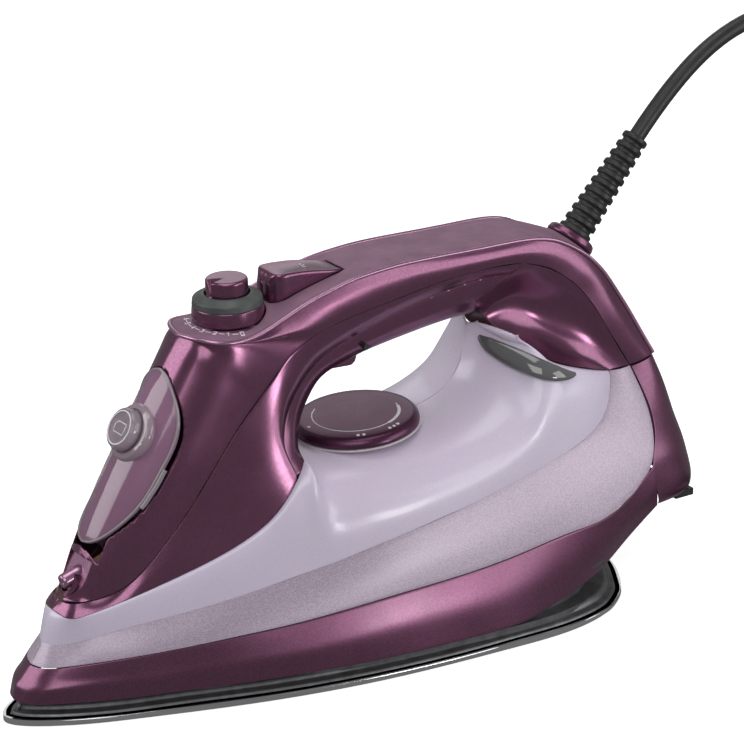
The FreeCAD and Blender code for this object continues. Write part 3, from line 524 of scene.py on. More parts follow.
for point, where in zip(line.points, cord_points):
    point.co = (*where, 1.0)
line.order_u = 3
line.use_endpoint_u = True
cord_curve.materials.append(materials["cord_black"])
cord = add("mains_lead", cord_curve)
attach(cord, "root")
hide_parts("mains_cord", "cord_coil", "cord_tail")

plug = lathe("plug_body", [(0, 0), (4.4, 0), (4.6, 1), (5.2, 8), (7.2, 14), (12, 18.5), (15.8, 22),
                           (17.2, 25), (17.4, 28), (17.4, 34), (16.8, 35.6), (15.5, 36), (0, 36)],
             plug_foot, ALONG, "plug_black", nodes=("plug",))
PIN = [(2.36, 0), (2.36, 10), (2.4, 10.2), (2.4, 17.6), (1.6, 18.9), (0, 19)]
pin_parts = [lathe("plug_pin_" + hand, PIN, plug_foot + Vector((36, side, 0)) * MM, ALONG,
                   "pin_nickel", nodes=nodes)
             for hand, side, nodes in (("left", -9.5, ("plug_pins",)), ("right", 9.5, ()))]

# ---- Skirt ----
FOOT = ((4, 0, 8.5), (5.4, 5.5, 8.5), (9, 9.6, 8.5), (16, 13.6, 8.5), (37, 23, 8.5), (59, 30, 8.5),
        (82, 37.2, 8.5), (105, 43.6, 8.5), (130, 48.9, 8.5), (156, 52.8, 8.5), (184, 55, 8.5),
        (206, 55.6, 9.0), (221, 54, 11.3), (237, 51.2, 14.3), (252, 47.8, 18), (266, 45.4, 26),
        (284, 44.2, 37.8))
SEAM = ((12, 0, 21.3), (13.4, 5.5, 21.6), (16.2, 9.6, 22.2), (21.7, 14, 23.1), (41, 24.6, 25.7),
        (60, 31, 27), (80, 36, 28.2), (103, 40.4, 29.1), (128, 44.5, 31), (154, 47.6, 33),
        (182, 49.4, 34.4), (206, 50, 36.4), (222, 50, 38.4), (237, 49.8, 39.8), (252, 49, 41),
        (266, 47, 46), (281, 44, 56))
skirt_ribs = []
for low, high in zip(FOOT, SEAM):
    low, high = np.array(low), np.array(high)
    rib = [low]
    fade = max(0.0, 1.0 - low[0] / 150.0)
    for share, swell in ((0.22, 0.7 + 0.5 * fade), (0.45, 1.2 + 0.9 * fade),
                         (0.62, 1.1 + 0.2 * fade),
                         (0.82, 0.6)):
        point = low + (high - low) * share
        lean = np.array([-1.0, 0.0]) if low[1] < 1 else np.array([-0.35, 0.94])
        if low[0] > 60:
            lean = np.array([0.0, 1.0])
        point[0] += lean[0] * swell
        point[1] += lean[1] * swell
        rib.append(point)
    rib.append(high)
    skirt_ribs.append(rib)
skirt_grid = tuck(loft(skirt_ribs, 260, 22), 0.15, ("high", "last"))
shell("skirt_shell", [skirt_grid], 2.2, "plum_skirt", ("skirt",))

# ---- Tank: frosted band and clear upper part ----
BAND_LOW = SEAM[:-1] + ((275.5, 45, 51), (281, 43, 57), (284.6, 39.6, 64.7), (286.2, 32.5, 78),
                        (282.9, 24.2, 94.1))
BAND_TOP = ((17.4, 0, 29.3), (18.9, 4.8, 29.5), (23, 8.7, 30.1), (29.6, 13.6, 32.3),
            (44, 19.3, 35.7),
            (60, 23.8, 37.8), (80, 29, 40.7), (103, 33.5, 44.5), (128, 38, 49.2), (154, 41.6, 54.6),
            (182, 42.8, 59.3), (206, 42.6, 64), (222, 42, 67), (234, 40.6, 69.5), (246, 38.8, 72.3),
            (255, 36.4, 75.3), (261, 34, 78.4), (265.5, 31.4, 82), (269, 28.6, 86.6),
            (271.4, 25.8, 91.2), (272, 24.1, 94))
TANK_TOP = ((22.3, 0, 41.6), (22.9, 4.6, 41.2), (24.6, 9.6, 40.7), (30.4, 13, 42), (44, 17.6, 46.2),
            (60, 21.2, 51), (80, 25.8, 58), (94, 28.3, 64.2), (104, 30, 71), (111, 30.3, 78.5),
            (116.5, 28.8, 84.8))
TANK_FOOT = BAND_TOP[:7] + ((95, 32, 43.1), (105, 33.8, 44.9), (112, 35.1, 46.2), (118, 36.3, 47.3))
band_ribs = []
for low, high in zip(smooth_curve(BAND_LOW, 61), smooth_curve(BAND_TOP, 61)):
    rib = []
    for share in (0.0, 0.33, 0.67, 1.0):
        point = low + (high - low) * share
        point[1] += 3.84 * share * (1 - share) * min(1.0, low[0] / 60.0)
        rib.append(point)
    band_ribs.append(rib)
band_grid = loft(band_ribs, 280, 12)
REAR_RIBS = (
    # foot on the band's top line, top edge, power, bulge
    ((121.5, 36.9, 48), (121.3, 24.5, 88.4), 0.62, 0), ((125, 37.5, 48.6), (123.6, 12, 85.6), 0.7,
                                                        0),
    ((129, 38.2, 49.4), (126, 0, 84.3), 0.76, 0), ((141, 40, 52), (141, 0, 84.7), 0.78, 0),
    ((156, 41.8, 55), (160, 0, 85.2), 0.78, 0), ((172, 42.6, 57.8), (177, 0, 86.4), 0.78, 0),
    ((187, 42.9, 60.3), (191, 0, 88.4), 0.78, 1), ((198, 42.8, 62.4), (202, 0, 91.6), 0.78, 3),
    ((208, 42.6, 64.4), (210, 0, 98), 0.8, 6), ((217, 42.2, 66), (214, 0, 107), 0.8, 8),
    ((225, 41.7, 67.6), (216, 0, 118.5), 0.8, 9), ((233, 40.8, 69.3), (219, 9, 119), 0.8, 7),
    ((241, 39.6, 71.1), (226.5, 18.5, 113), 0.8, 4), ((249, 38, 73.2), (238, 25.2, 106), 0.8, 2),
    ((256, 36, 75.7), (251, 27.8, 101), 0.85, 1), ((263, 33, 79.8), (262, 26.6, 97.2), 0.9, 0),
    ((268.4, 29.2, 85.6), (268, 25.2, 95.2), 1, 0), ((271.3, 25.9, 91), (270.8, 24.6, 94.4), 1, 0))
tank_ribs = [rounded_rib(low, high, 13, 0.95 - 0.02 * index)
             for index, (low, high) in enumerate(zip(TANK_FOOT, TANK_TOP))]
tank_ribs += [rounded_rib(low, high, 13, power, bulge) for low, high, power, bulge in REAR_RIBS]
tank_grid = loft(tank_ribs, 300, 60)
shell("tank_shell", [tuck(tank_grid, 0.2, ("high",))], 2.0, "lilac_tank",
      ("water_tank",), edge=0.35)
shell("tank_band", [tuck(band_grid, 0.15, ("low",))], 2.0, "lilac_band", edge=0.35)

# ---- Front housing, cheeks under the handle and rear inner column ----
HOUSING = (
    ((25.3, 0, 45.2), (22.3, 0, 41.9)), ((25.6, 4.6, 45.3), (22.9, 4.6, 41.4)),
    ((28.5, 8.6, 45.8), (24.6, 9.6, 40.9)), ((35, 11, 46.4), (30.4, 13, 42.2)),
    ((45, 15, 50), (44, 17.6, 46.4)), ((54, 17.3, 57), (60, 21.2, 51.2)),
    ((63, 18.3, 66.3), (76, 24.9, 56.4)), ((72, 19.2, 76.7), (90, 27.6, 62.2)),
    ((80, 19.9, 87.4), (101, 29.6, 68.4)), ((88, 20, 98), (108, 30.4, 74.5)),
    ((95.5, 20, 107.3), (113, 30, 80.7)), ((102, 19.7, 113.8), (115.6, 28.6, 85.5)),
    ((107.5, 19.4, 119.3), (114, 25.4, 91)), ((112.5, 19.2, 124), (114.2, 22.2, 97.6)),
    ((119, 18.9, 130), (118, 18.8, 107)), ((126, 18.5, 134), (125.5, 16.4, 116.5)),
    ((134, 18, 137.3), (134, 14.8, 123.2)), ((145, 17.8, 139.8), (145, 14.2, 128.2)),
    ((159, 17.6, 142), (158, 14.1, 132.6)), ((175, 17.5, 144.2), (173, 14.1, 136.6)),
    ((198, 17.6, 147.2), (196, 14.2, 140.8)), ((216, 17.8, 147.7), (213, 14.6, 142.6)),
    ((231, 18.1, 147), (227, 15.6, 142.4)))
housing_ribs = []
for low, high in HOUSING:
    low, high = np.array(low, float), np.array(high, float)
    middle = (low + high) / 2
    middle[1] += 0.9 * min(1.0, np.linalg.norm(high - low) / 14)
    housing_ribs.append([low, middle, high])
housing_grid = loft(housing_ribs, 260, 24)
CHEEK = (
    # the rows start at the housing's lower edge
    ((119.2, 27.4, 86.5), (121.6, 24.6, 88.6), (123.4, 12, 88.8), (124, 0, 88.8)),
    ((118.5, 23.8, 91), (122.4, 19.6, 91.6), (124.4, 10, 92.2), (125, 0, 92.3)),
    ((120, 20.4, 96.8), (124.8, 15.6, 96.4), (127, 8, 96.5), (127.6, 0, 96.5)),
    ((123, 17.4, 104.6), (128.6, 12.4, 102.8), (131, 6, 102), (131.4, 0, 101.8)),
    ((128.6, 15.2, 112.4), (133.2, 11, 109.4), (135.6, 5.5, 108), (136, 0, 107.6)),
    ((135.6, 14, 118.6), (138.4, 10.6, 115), (139.8, 5.2, 113.4), (140, 0, 113)),
    ((145.8, 13.4, 122.6), (147.4, 10, 118.4), (148, 5, 117), (148, 0, 116.6)),
    ((158.4, 13.2, 125.8), (159, 9.6, 121.2), (159, 4.8, 119.8), (159, 0, 119.4)),
    ((173, 13.2, 128.8), (173, 9.4, 123.4), (173, 4.7, 122), (173, 0, 121.6)),
    ((195.4, 13.2, 132.2), (195, 9, 126), (195, 4.5, 124.4), (195, 0, 124)),
    ((211, 13.2, 133.8), (208.6, 9, 127), (208, 4.5, 125.2), (208, 0, 124.8)),
    ((222, 11.8, 134.2), (216.4, 8.4, 126.8), (215.6, 4, 124.8), (215.4, 0, 124.2)))
cheek_grid = loft([(high, *row) for (low, high), row in zip(HOUSING[11:], CHEEK)], 200, 30)
COLUMN = (
    ((231, 18.1, 147), (227, 15.6, 142.4), (222, 11.8, 134.2), (216.4, 8.4, 126.8)),
    ((240, 18.7, 144), (236.4, 15.2, 139.2), (229.5, 9.6, 130.5), (218.6, 7.8, 124.6)),
    ((247, 19.3, 140.6), (244.4, 15.6, 134.6), (236, 9.6, 125.6), (221.6, 9.4, 120.6)),
    ((254, 20.3, 135.6), (251.2, 16.4, 130), (242, 11.2, 119.6), (226, 14.8, 115.8)),
    ((260, 21.3, 129.4), (257, 17.4, 124), (247, 14.6, 113.6), (232, 20.2, 111)),
    ((265, 22.6, 122.6), (261.4, 18.8, 117.6), (252.6, 18.6, 108.4), (240, 25, 106.2)),
    ((270, 24, 114), (265.6, 20.6, 109.8), (258.4, 21.8, 103.6), (250, 27.3, 101.9)),
    ((275, 24.3, 105.8), (269.4, 22, 102.4), (264, 23.6, 99), (258.6, 26.9, 98.9)),
    ((279.4, 24.2, 99.2), (272.4, 23, 97.4), (268.6, 23.8, 96.2), (265.6, 25.6, 96.2)),
    ((282.8, 24.1, 94.3), (276, 23.8, 94.2), (273, 23.8, 94.2), (271.2, 24.2, 94.3)))
column_grid = loft(COLUMN, 120, 36)
shell("handle_shell_inner",
      [tuck(housing_grid, 0.15, ("low",)), cheek_grid, tuck(column_grid, 0.15, ("low",))],
      1.6, "plum_gloss", ("handle_shell",), edge=0.3)

# ---- Upper cover ----
RIM = ((80.3, 0, 141), (81.4, 6.5, 141.4), (84.5, 13, 141.3), (90, 16.9, 140.8), (98, 18, 140.3),
       (109, 17.5, 142), (118, 16.8, 145), (129, 16.3, 149), (140, 16.1, 152), (150, 16, 154.3),
       (161, 16, 155.6), (172, 16, 156.3), (187, 16, 156.3), (201, 16, 156), (218, 16.1, 155.7),
       (234, 16.4, 155.3), (247, 17, 153), (255.5, 17.4, 149), (261.5, 17.8, 145.2),
       (266.4, 18.2, 141.2), (272.5, 18.7, 134.5), (278, 19.3, 126.6), (284.5, 20.2, 116.5),
       (290, 21.3, 107), (296, 23, 96.4))
COVER_LOW = ((124, 18.7, 133), (127, 18.5, 134.6), (130, 18.3, 135.9), (133.6, 18.1, 137.2),
             (138, 17.9, 138.5), (143, 17.8, 139.5), (149, 17.7, 140.5), (155, 17.6, 141.4),
             (161.5, 17.6, 142.3), (168.5, 17.5, 143.3), (176, 17.5, 144.4), (184, 17.5, 145.5),
             (194, 17.6, 146.8), (204, 17.7, 147.5), (217.5, 17.8, 147.7), (229, 18, 147.1),
             (238, 18.5, 144.9), (245, 19.1, 142), (250, 19.7, 138.6), (254.4, 20.4, 135.2),
             (260, 21.3, 129.4), (265, 22.6, 122.6), (271, 24.1, 112.2), (277, 24.4, 103),
             (282.8, 24.1, 94.3))
RIDGE = (
    ((25.8, 0, 46.1), (25.9, 1.5, 46.0), (26, 3, 45.9), (26.1, 4.6, 45.7)),
    ((26.8, 0, 48), (27.2, 3.8, 47.6), (28.4, 6.6, 46.9), (30, 9.2, 46.2)),
    ((28.6, 0, 51.4), (29.6, 5.6, 50.6), (32.6, 9.6, 48.8), (37, 11.8, 47)),
    ((31, 0, 56.2), (32.6, 7.2, 55.3), (37.6, 12, 53.2), (45, 15, 50.2)),
    ((34.4, 0, 62.8), (36.4, 8.6, 62.2), (43, 14.2, 60.4), (54, 17.3, 57.2)),
    ((39.3, 0, 72.2), (41.8, 9.4, 71.8), (49.8, 15.9, 70.4), (64, 18.5, 67.5)),
    ((44.6, 0, 81.8), (47.4, 9.9, 81.6), (56.4, 16.7, 80.6), (72.4, 19.3, 77.6)),
    ((49.9, 0, 91.2), (52.8, 10.1, 91), (62.2, 17.2, 90), (80, 19.9, 87.7)),
    ((55, 0, 99.8), (58, 10.2, 99.6), (67.6, 17.5, 98.6), (87, 20, 97)),
    ((59.8, 0, 108), (62.9, 10.3, 107.8), (73, 17.6, 106.9), (93.4, 20, 105)),
    ((64.4, 0, 115.6), (67.6, 10.4, 115.4), (78.3, 17.7, 114.4), (99.6, 19.8, 111.8)),
    ((68.9, 0, 123), (72.1, 10.5, 122.8), (83.4, 17.8, 121.8), (105.6, 19.5, 117.6)),
    ((73, 0, 129.8), (76.3, 10.7, 129.6), (88.1, 17.9, 128.6), (111.4, 19.2, 123.2)),
    ((76.6, 0, 135.6), (79.9, 11, 135.4), (92.2, 18, 134.2), (117, 19, 128.2)),
    ((79.2, 0, 139.6), (82.2, 11.1, 139), (95.4, 18.1, 137.4), (121, 18.8, 131.2)))
cover_ribs = list(RIDGE)
NECKS = {0: ((83.2, 11, 140.2), (97.6, 18.1, 138.4)), 1: ((85.6, 13.8, 140.2),
                                                          (100.4, 18.2, 138.8)),
         2: ((90.4, 16.7, 140), (104.6, 18.2, 139)), 3: ((97.4, 18, 139.9), (110, 18.3, 139.2))}
for index, (rim, low) in enumerate(zip(RIM, COVER_LOW)):
    rim, low = np.array(rim, float), np.array(low, float)
    if index in NECKS:
        upper, lower = NECKS[index]
    else:
        upper, lower = rim + (low - rim) * 0.33, rim + (low - rim) * 0.68
        upper[1] += 1.0
        lower[1] += 0.9
    cover_ribs.append((rim, upper, lower, low))
cover_grid = tuck(loft(cover_ribs, 340, 26), 0.15, ("high", "last"))
cover = shell("upper_cover_shell", [cover_grid], 2.2, "plum_gloss", ("upper_cover",))

# ---- Grip insert ----
CROWN = ((80.5, 141.4), (81.4, 142.4), (84.6, 143.1), (90, 143.6), (98, 144.4), (109, 146),
         (118, 148.2), (129, 151.8), (140, 154.6), (150, 156.2), (161, 157), (172, 157.5),
         (187, 157.6), (201, 157.6), (218, 157.5), (235, 157.1), (250, 154.6), (260, 150.8),
         (267, 146.8), (272.6, 142.4), (279, 134.8), (284.8, 126), (290.8, 115.2), (295.8, 105.2),
         (300, 96.6))
insert_ribs = []
for index, (rim, (crown_station, crown_level)) in enumerate(zip(RIM, CROWN)):
    rim, crown = np.array(rim, float), np.array((crown_station, 0, crown_level), float)
    if index < 3:
        rim = rim + np.array([0.25, 0, 0.25])
    rib = []
    for angle in np.linspace(0, math.pi / 2, 7):
        point = rim + (crown - rim) * (1 - math.cos(angle))
        point[1] = rim[1] * math.cos(angle)
        point[2] = rim[2] + (crown[2] - rim[2]) * math.sin(angle) ** 0.8
        rib.append(point)
    insert_ribs.append(rib)
insert_grid = tuck(loft(insert_ribs, 300, 22), 0.15, ("low", "last"))
insert = shell("grip_insert_shell", [insert_grid], 2.2, "plum_grip", ("grip_insert",))

# ---- Heel cover ----
HEEL = (
    ((283.2, 24.2, 93.9), (289.5, 24.6, 94.9), (295.6, 22.6, 96), (298.6, 12.5, 96.3),
     (299.7, 0, 96.3)),
    ((286.3, 30.6, 82), (294.2, 29.2, 82.2), (301, 25, 82.8), (303.6, 12.8, 83), (304.2, 0, 83)),
    ((287.2, 36, 70.5), (297, 33.6, 69.4), (305, 27.6, 69), (308.1, 14.2, 69), (308.7, 0, 69)),
    ((283.2, 41.4, 61.4), (296.6, 38.8, 60.4), (306.6, 31.6, 60), (310.3, 16.2, 60),
     (310.9, 0, 60)),
    ((281, 43.8, 55), (296.4, 41.2, 52.6), (307.6, 34.6, 51.4), (312, 17.4, 51), (312.6, 0, 51)),
    ((282.2, 44.8, 47), (296.8, 42.6, 46), (308, 36.4, 45), (312.3, 18.2, 45), (312.9, 0, 45)),
    ((284.2, 44.4, 39.4), (297, 42.4, 39.4), (307.2, 36.2, 39.4), (310.7, 18, 39.8),
     (311.3, 0, 39.8)),
    ((284.6, 43.4, 37.8), (296.6, 41.2, 37.8), (305.8, 35, 37.8), (308.8, 17.4, 37.8),
     (309.4, 0, 37.8)))
heel_grid = tuck(loft(HEEL, 90, 60), 0.2, ("first", "low"))
shell("heel_cover_shell", [heel_grid], 2.2, "plum_skirt", ("rear_cover",))

# ---- Soleplate: bright rim round a dark raised bed ----
SOLE = ((0, 0), (2.2, 4.4), (7, 9), (15.9, 14.9), (36.8, 24.5), (59.3, 31.6), (82, 38.8),
        (105, 45.4),
        (130, 50.6), (156, 54.4), (184, 56.8), (203, 57.4), (223, 58.0), (234, 57.3), (246, 55.1),
        (255, 51.8), (262, 47.1), (268, 41.6), (272, 35.8), (278, 25.8), (283, 14.5), (284.7, 5),
        (285, 0))


def shifted(points, distance):
    """Points moved to the side of their own line; the two ends stay on the middle plane."""
    tangents = np.gradient(points, axis=0)
    normals = np.stack([-tangents[:, 1], tangents[:, 0]], axis=1)
    normals /= np.linalg.norm(normals, axis=1, keepdims=True)
    points[:, :2] += normals * distance
    points[0, 1] = points[-1, 1] = 0
    return points


def sole_loop(name, profile, material):
    """A closed form round the sole: (inset, level) steps from its underside centre outwards."""
    bm = bmesh.new()
    loops = []
    for inset, level in profile:
        half = shifted(smooth_curve([(s, w, 0) for s, w in SOLE], 150), -inset)
        loops.append([bm.verts.new(place(s, w, level)) for s, w in
                      [(p[0], -p[1]) for p in half] + [(p[0], p[1]) for p in half[-2:0:-1]]])
    bridge(bm, loops)
    bm.faces.new(loops[0][::-1])
    bm.faces.new(loops[-1])
    for face in bm.faces:
        face.smooth = len(face.verts) == 4
    return weighted(link(name, baked(name, bm), material, "root"))


sole_loop("sole_rim_plate", [(1.2, 0.02), (0.3, 0.35), (0.0, 0.9), (0.0, 1.7), (0.02, 2.1),
                             (0.25, 2.42), (0.7, 2.5)], "steel_sole")
sole_loop("sole_bed", [(2.6, 2.45), (2.9, 3.3), (3.6, 3.6), (5.6, 3.7), (6.0, 4.4), (6.6, 6.2),
                       (8.5, 6.4)], "cast_aluminium")
frame["nodes"]["soleplate"].data.materials[0] = materials["steel_sole"]

# ---- Filler door on the ridge ----
ridge_foot = place(36.5, 0, 67)
RIDGE_UP, RIDGE_OUT = Vector((0.51, 0, 0.86)).normalized(), Vector((-0.86, 0, 0.51)).normalized()
DOOR = ((-1.1, 0), (0.2, 4.6), (4.2, 9.2), (13.6, 13.8), (23, 16), (32, 16.8), (42, 17.2),
        (50, 17.1), (57, 16), (63, 13.6), (68.4, 9.2), (71.6, 4.6), (72.8, 0))


def on_ridge(share, side=0.0, out=0.0):
    """A point in mm up the ridge, to its side and out from it."""
    return ridge_foot + (RIDGE_UP * share + ACROSS * side + RIDGE_OUT * out) * MM


def door_outline(grow, count=96):
    half = shifted(smooth_curve([(a, b, 0) for a, b in DOOR], count // 2 + 1), grow)
    return [(p[0], p[1]) for p in half] + [(p[0], -p[1]) for p in half[-2:0:-1]]


def surface_tree(ribs, along, across):
    """The surface through some ribs, as a tree that rays can be cast on."""
    mesh = half_mesh("probe", [loft(ribs, along, across)])
    tree = BVHTree.FromPolygons([v.co.copy() for v in mesh.vertices],
                                [tuple(p.vertices) for p in mesh.polygons])
    bpy.data.meshes.remove(mesh)
    return tree


skin = surface_tree(cover_ribs, 200, 30)


def skin_out(share, side):
    """How far out from the ridge plane the cover's skin lies, in mm."""
    hit = skin.ray_cast(on_ridge(share, side, 30), -RIDGE_OUT)
    if hit[0] is None:
        return 0.0
    return (hit[0] - on_ridge(share, side)).dot(RIDGE_OUT) / MM


def door_plate(name, grow, rise, thickness, material, nodes, edge):
    """A plate over the door's outline that follows the cover's skin."""
    rings, centre = 12, np.array((36.0, 0.0))
    outline = np.array(door_outline(grow))
    bm = bmesh.new()
    grid = []
    for ring in range(1, rings + 1):
        spots = centre + (outline - centre) * (ring / rings)
        grid.append([bm.verts.new(on_ridge(a, b, skin_out(a, b) + rise)) for a, b in spots])
    hub = bm.verts.new(on_ridge(*centre, skin_out(*centre) + rise))
    bridge(bm, [[hub]] + grid)
    bmesh.ops.recalc_face_normals(bm, faces=bm.faces)
    if sum(f.normal.dot(RIDGE_OUT) for f in bm.faces) < 0:
        bmesh.ops.reverse_faces(bm, faces=bm.faces)
    mesh = baked(name, bm, recalculate=False)
    smooth_shade(mesh)
    item = link(name, mesh, material, "door", nodes)
    thicken(item, thickness, edge)


def tube_piece(name, points, radius, material, body="root", closed=False):
    """A round bead along points, as a mesh."""
    curve = bpy.data.curves.new(name, "CURVE")
    curve.dimensions = "3D"
    curve.bevel_depth = radius * MM
    curve.bevel_resolution = 4
    curve.use_fill_caps = True
    spline = curve.splines.new("POLY")
    spline.points.add(len(points) - 1)
    for point, where in zip(spline.points, points):
        point.co = (*where, 1.0)
    spline.use_cyclic_u = closed
    temporary = add(name + "_path", curve)
    bpy.context.view_layer.update()
    mesh = bpy.data.meshes.new_from_object(
        temporary.evaluated_get(bpy.context.evaluated_depsgraph_get()))
    bpy.data.objects.remove(temporary)
    mesh.materials.clear()
    smooth_shade(mesh)
    return link(name, mesh, material, body)


cutter = prism("door_cutter", door_outline(0.25), on_ridge(0, 0, -26),
               (RIDGE_UP, ACROSS, RIDGE_OUT), 60)
apply_modifiers(cover)
carve(cover, cutter)
door_plate("filler_door_panel", -0.25, 0.35, 1.8, "door_clear", ("filler_door",), 0.6)
door_plate("door_inner_frame", -1.2, -1.7, 1.2, "door_inner", (), 0.3)
seal_points = [on_ridge(a, b, skin_out(a, b) + 0.15) for a, b in door_outline(-0.9, 160)]
tube_piece("door_edge_line", seal_points, 0.55, "door_edge", "door", closed=True)
grip_points = []
for share in np.linspace(21.5, 38.5, 18):
    side = -np.interp(share, [a for a, b in DOOR], [b for a, b in DOOR]) + 0.1
    grip_points.append(on_ridge(share, side, skin_out(share, side) + 0.5))
tube_piece("door_grip_lip", grip_points, 0.95, "door_edge", "door")

# The cover is hollowed around the hinge, so that the door's foot has room to swing.
hinge = on_ridge(3, 0, -7.5)
carve(cover, lathe("hinge_room", [(0, -10.4), (8.9, -10.4), (8.9, 10.4), (0, 10.4)], hinge, ACROSS,
                   None, hint=ALONG))
lathe("door_hinge_barrel", [(0, -5.4), (2.5, -5.4), (2.5, 5.4), (0, 5.4)], hinge, ACROSS,
      "plum_skirt", "door", hint=ALONG, soften=0.3)
latch_at = on_ridge(45.5, 0, 0)
lathe("latch_boss", [(5.0, -2.5), (11.2, -2.5), (11.9, -0.5), (11.8, 0.6), (10.9, 1.9), (9.2, 2.35),
                     (8.9, 2.3), (8.8, 1.4), (5.0, 1.4)], latch_at, RIDGE_OUT, "smoke_trim", "door",
      soften=0.25)
lathe("door_latch_disc", [(0, 1.6), (7.6, 1.6), (8.3, 2.2), (8.45, 3.2), (8.4, 5.4), (7.9, 6.3),
                          (7.3, 6.7), (6.9, 6.55), (0, 6.2)], latch_at, RIDGE_OUT, "clear_trim",
      "latch", ("door_latch_knob",), soften=0.15)
lathe("latch_insert", [(0, 2.0), (6.2, 2.0), (6.4, 2.6), (6.3, 6.0), (0, 5.9)], latch_at, RIDGE_OUT,
      "light_trim", "latch")
lathe("latch_stem", [(0, -12), (2.9, -12), (2.9, 2.2), (0, 2.2)], latch_at, RIDGE_OUT,
      "white_plastic", "latch")


def ring_print(name, centre, axis, radius, width, start, stop, body, rise):
    """A printed arc as a thin raised strip."""
    turn = Matrix.Translation(centre) @ frame_of(axis)
    steps = max(6, int(abs(stop - start) / 4))
    inner, outer = radius - width / 2, radius + width / 2
    bm = bmesh.new()
    rows = []
    for k in range(steps + 1):
        angle = math.radians(start + (stop - start) * k / steps)
        rows.append([bm.verts.new(turn @ (Vector((r * math.cos(angle), r * math.sin(angle),
                                                  h)) * MM))
                     for r, h in ((inner, 0), (inner, rise), (outer, rise), (outer, 0))])
    bridge(bm, rows)
    if stop - start == 360:
        bmesh.ops.remove_doubles(bm, verts=bm.verts, dist=1e-6)
    else:
        bm.faces.new(rows[0])
        bm.faces.new(rows[-1][::-1])
    return link(name, baked(name, bm), "print_white", body)


def flat_print(name, outline, centre, axis, body, rise):
    """A printed shape as a thin raised plate; outline in mm on the surface."""
    turn = frame_of(axis)
    return prism(name, outline, centre, [turn.col[k].to_3d() for k in range(3)], rise,
                 "print_white", body)


def stroke(first, second, width, overrun=0.5):
    """The outline of a stroke, run past its ends by a share of its width."""
    a, b = Vector((*first, 0)), Vector((*second, 0))
    step = (b - a).normalized()
    across = Vector((-step.y, step.x, 0)) * width / 2
    a, b = a - step * width * overrun, b + step * width * overrun
    return [(c.x, c.y) for c in (a + across, b + across, b - across, a - across)]


ring_print("latch_ring_print", latch_at + RIDGE_OUT * 6.55 * MM, RIDGE_OUT, 6.7, 0.5, 0, 360,
           "latch",
           0.25)
TAG = ((-2.2, -3.4), (2.2, -3.4), (2.2, 2.0), (0.9, 3.6), (-2.2, 3.6))
for index, ends in enumerate(zip(TAG, TAG[1:] + TAG[:1])):
    flat_print("latch_mark_%d" % index, stroke(*ends, 0.44, 0.0), latch_at + RIDGE_OUT * 6.2 * MM,
               RIDGE_OUT, "latch", 0.2)
lathe("boss_pointer_dot", [(0, 0), (0.55, 0), (0.5, 0.25), (0, 0.3)],
      on_ridge(43.5, -10.4, 1.75), RIDGE_OUT, "print_white", "door", steps=24)

# ---- Spray nozzle on its recessed, lighter plate ----
PLATE_OUT = -4.2


def plate_half(share, cap):
    """How far the plate reaches to each side before it meets the skin."""
    for side in np.arange(0, cap, 0.2):
        if skin_out(share, side) < PLATE_OUT + 0.5:
            return side
    return cap


plate_sides = []
for share in np.linspace(-23.5, -5.5, 28):
    cap = 8.4 * math.sqrt(max(0.0, 1 - ((-8 - share) / 15.7) ** 2)) if share < -8 else 8.4
    half = plate_half(share, cap)
    if half > 0.4:
        plate_sides.append((share, half))
plate_outline = [(a, -b) for a, b in plate_sides] + [(a, b) for a, b in plate_sides[::-1]]
plate_axes = (RIDGE_UP, ACROSS, RIDGE_OUT)
carve(cover, prism("nozzle_recess", plate_outline, on_ridge(0, 0, PLATE_OUT), plate_axes, 30))
prism("nozzle_plate", [(a, b * 1.03) for a, b in plate_outline], on_ridge(0, 0, PLATE_OUT - 1.4),
      plate_axes, 1.6, "pale_pearl_and_rim_highlight", soften=0.25)
NOZZLE = Vector((-0.95, 0, -0.28)).normalized()
nozzle_back = place(26.6, 0, 51.6) - NOZZLE * 14 * MM
lathe("nozzle_barrel", [(0, 0), (3.0, 0), (3.1, 12.4), (3.0, 13.2), (2.7, 13.7), (2.3, 13.85),
                        (1.8, 13.8), (1.5, 13.3), (0.9, 13.1), (0.8, 11), (0, 11)],
      nozzle_back, NOZZLE, "pale_pearl_and_rim_highlight", nodes=("spray_nozzle",), steps=64)

# ---- Steam knob, rubber collar and steam button ----
knob_axis = Vector((-math.sin(math.radians(2)), 0, math.cos(math.radians(2))))
knob_base = place(103.2, 0, 144.8)
lathe("knob_skirt", [(9, -0.6), (13.9, -0.6), (14.2, 0.2), (14.1, 3.0), (13.85, 5.2), (13.4, 5.6),
                     (9, 5.6)], knob_base, knob_axis, "plum_gloss", "steam_knob",
      ("steam_regulator",), soften=0.2)
lathe("knob_collar", [(8.9, 5.3), (13.7, 5.3), (13.85, 5.8), (13.6, 7.9), (13.2, 8.25),
                      (12.9, 8.35), (10.6, 9.7), (9.6, 9.9), (8.9, 9.9)], knob_base, knob_axis,
      "green_rubber", "steam_knob", ("regulator_collar",), soften=0.3)
button = lathe("steam_button_cap", [(0, 5.4), (7.9, 5.4), (8.25, 6.0), (8.3, 14.6), (8.1, 15.3),
                                    (7.6, 15.7), (6.8, 15.85), (0, 15.6)], knob_base, knob_axis,
               "plum_gloss", "steam_press", ("steam_button",), soften=0.15)
apply_modifiers(button)
carve(button, prism("button_notch", ((-11, -2.0), (-6.0, -2.0), (-6.0, 2.0), (-11, 2.0)),
                    knob_base + knob_axis * 9.8 * MM, (ALONG, ACROSS, knob_axis), 12))
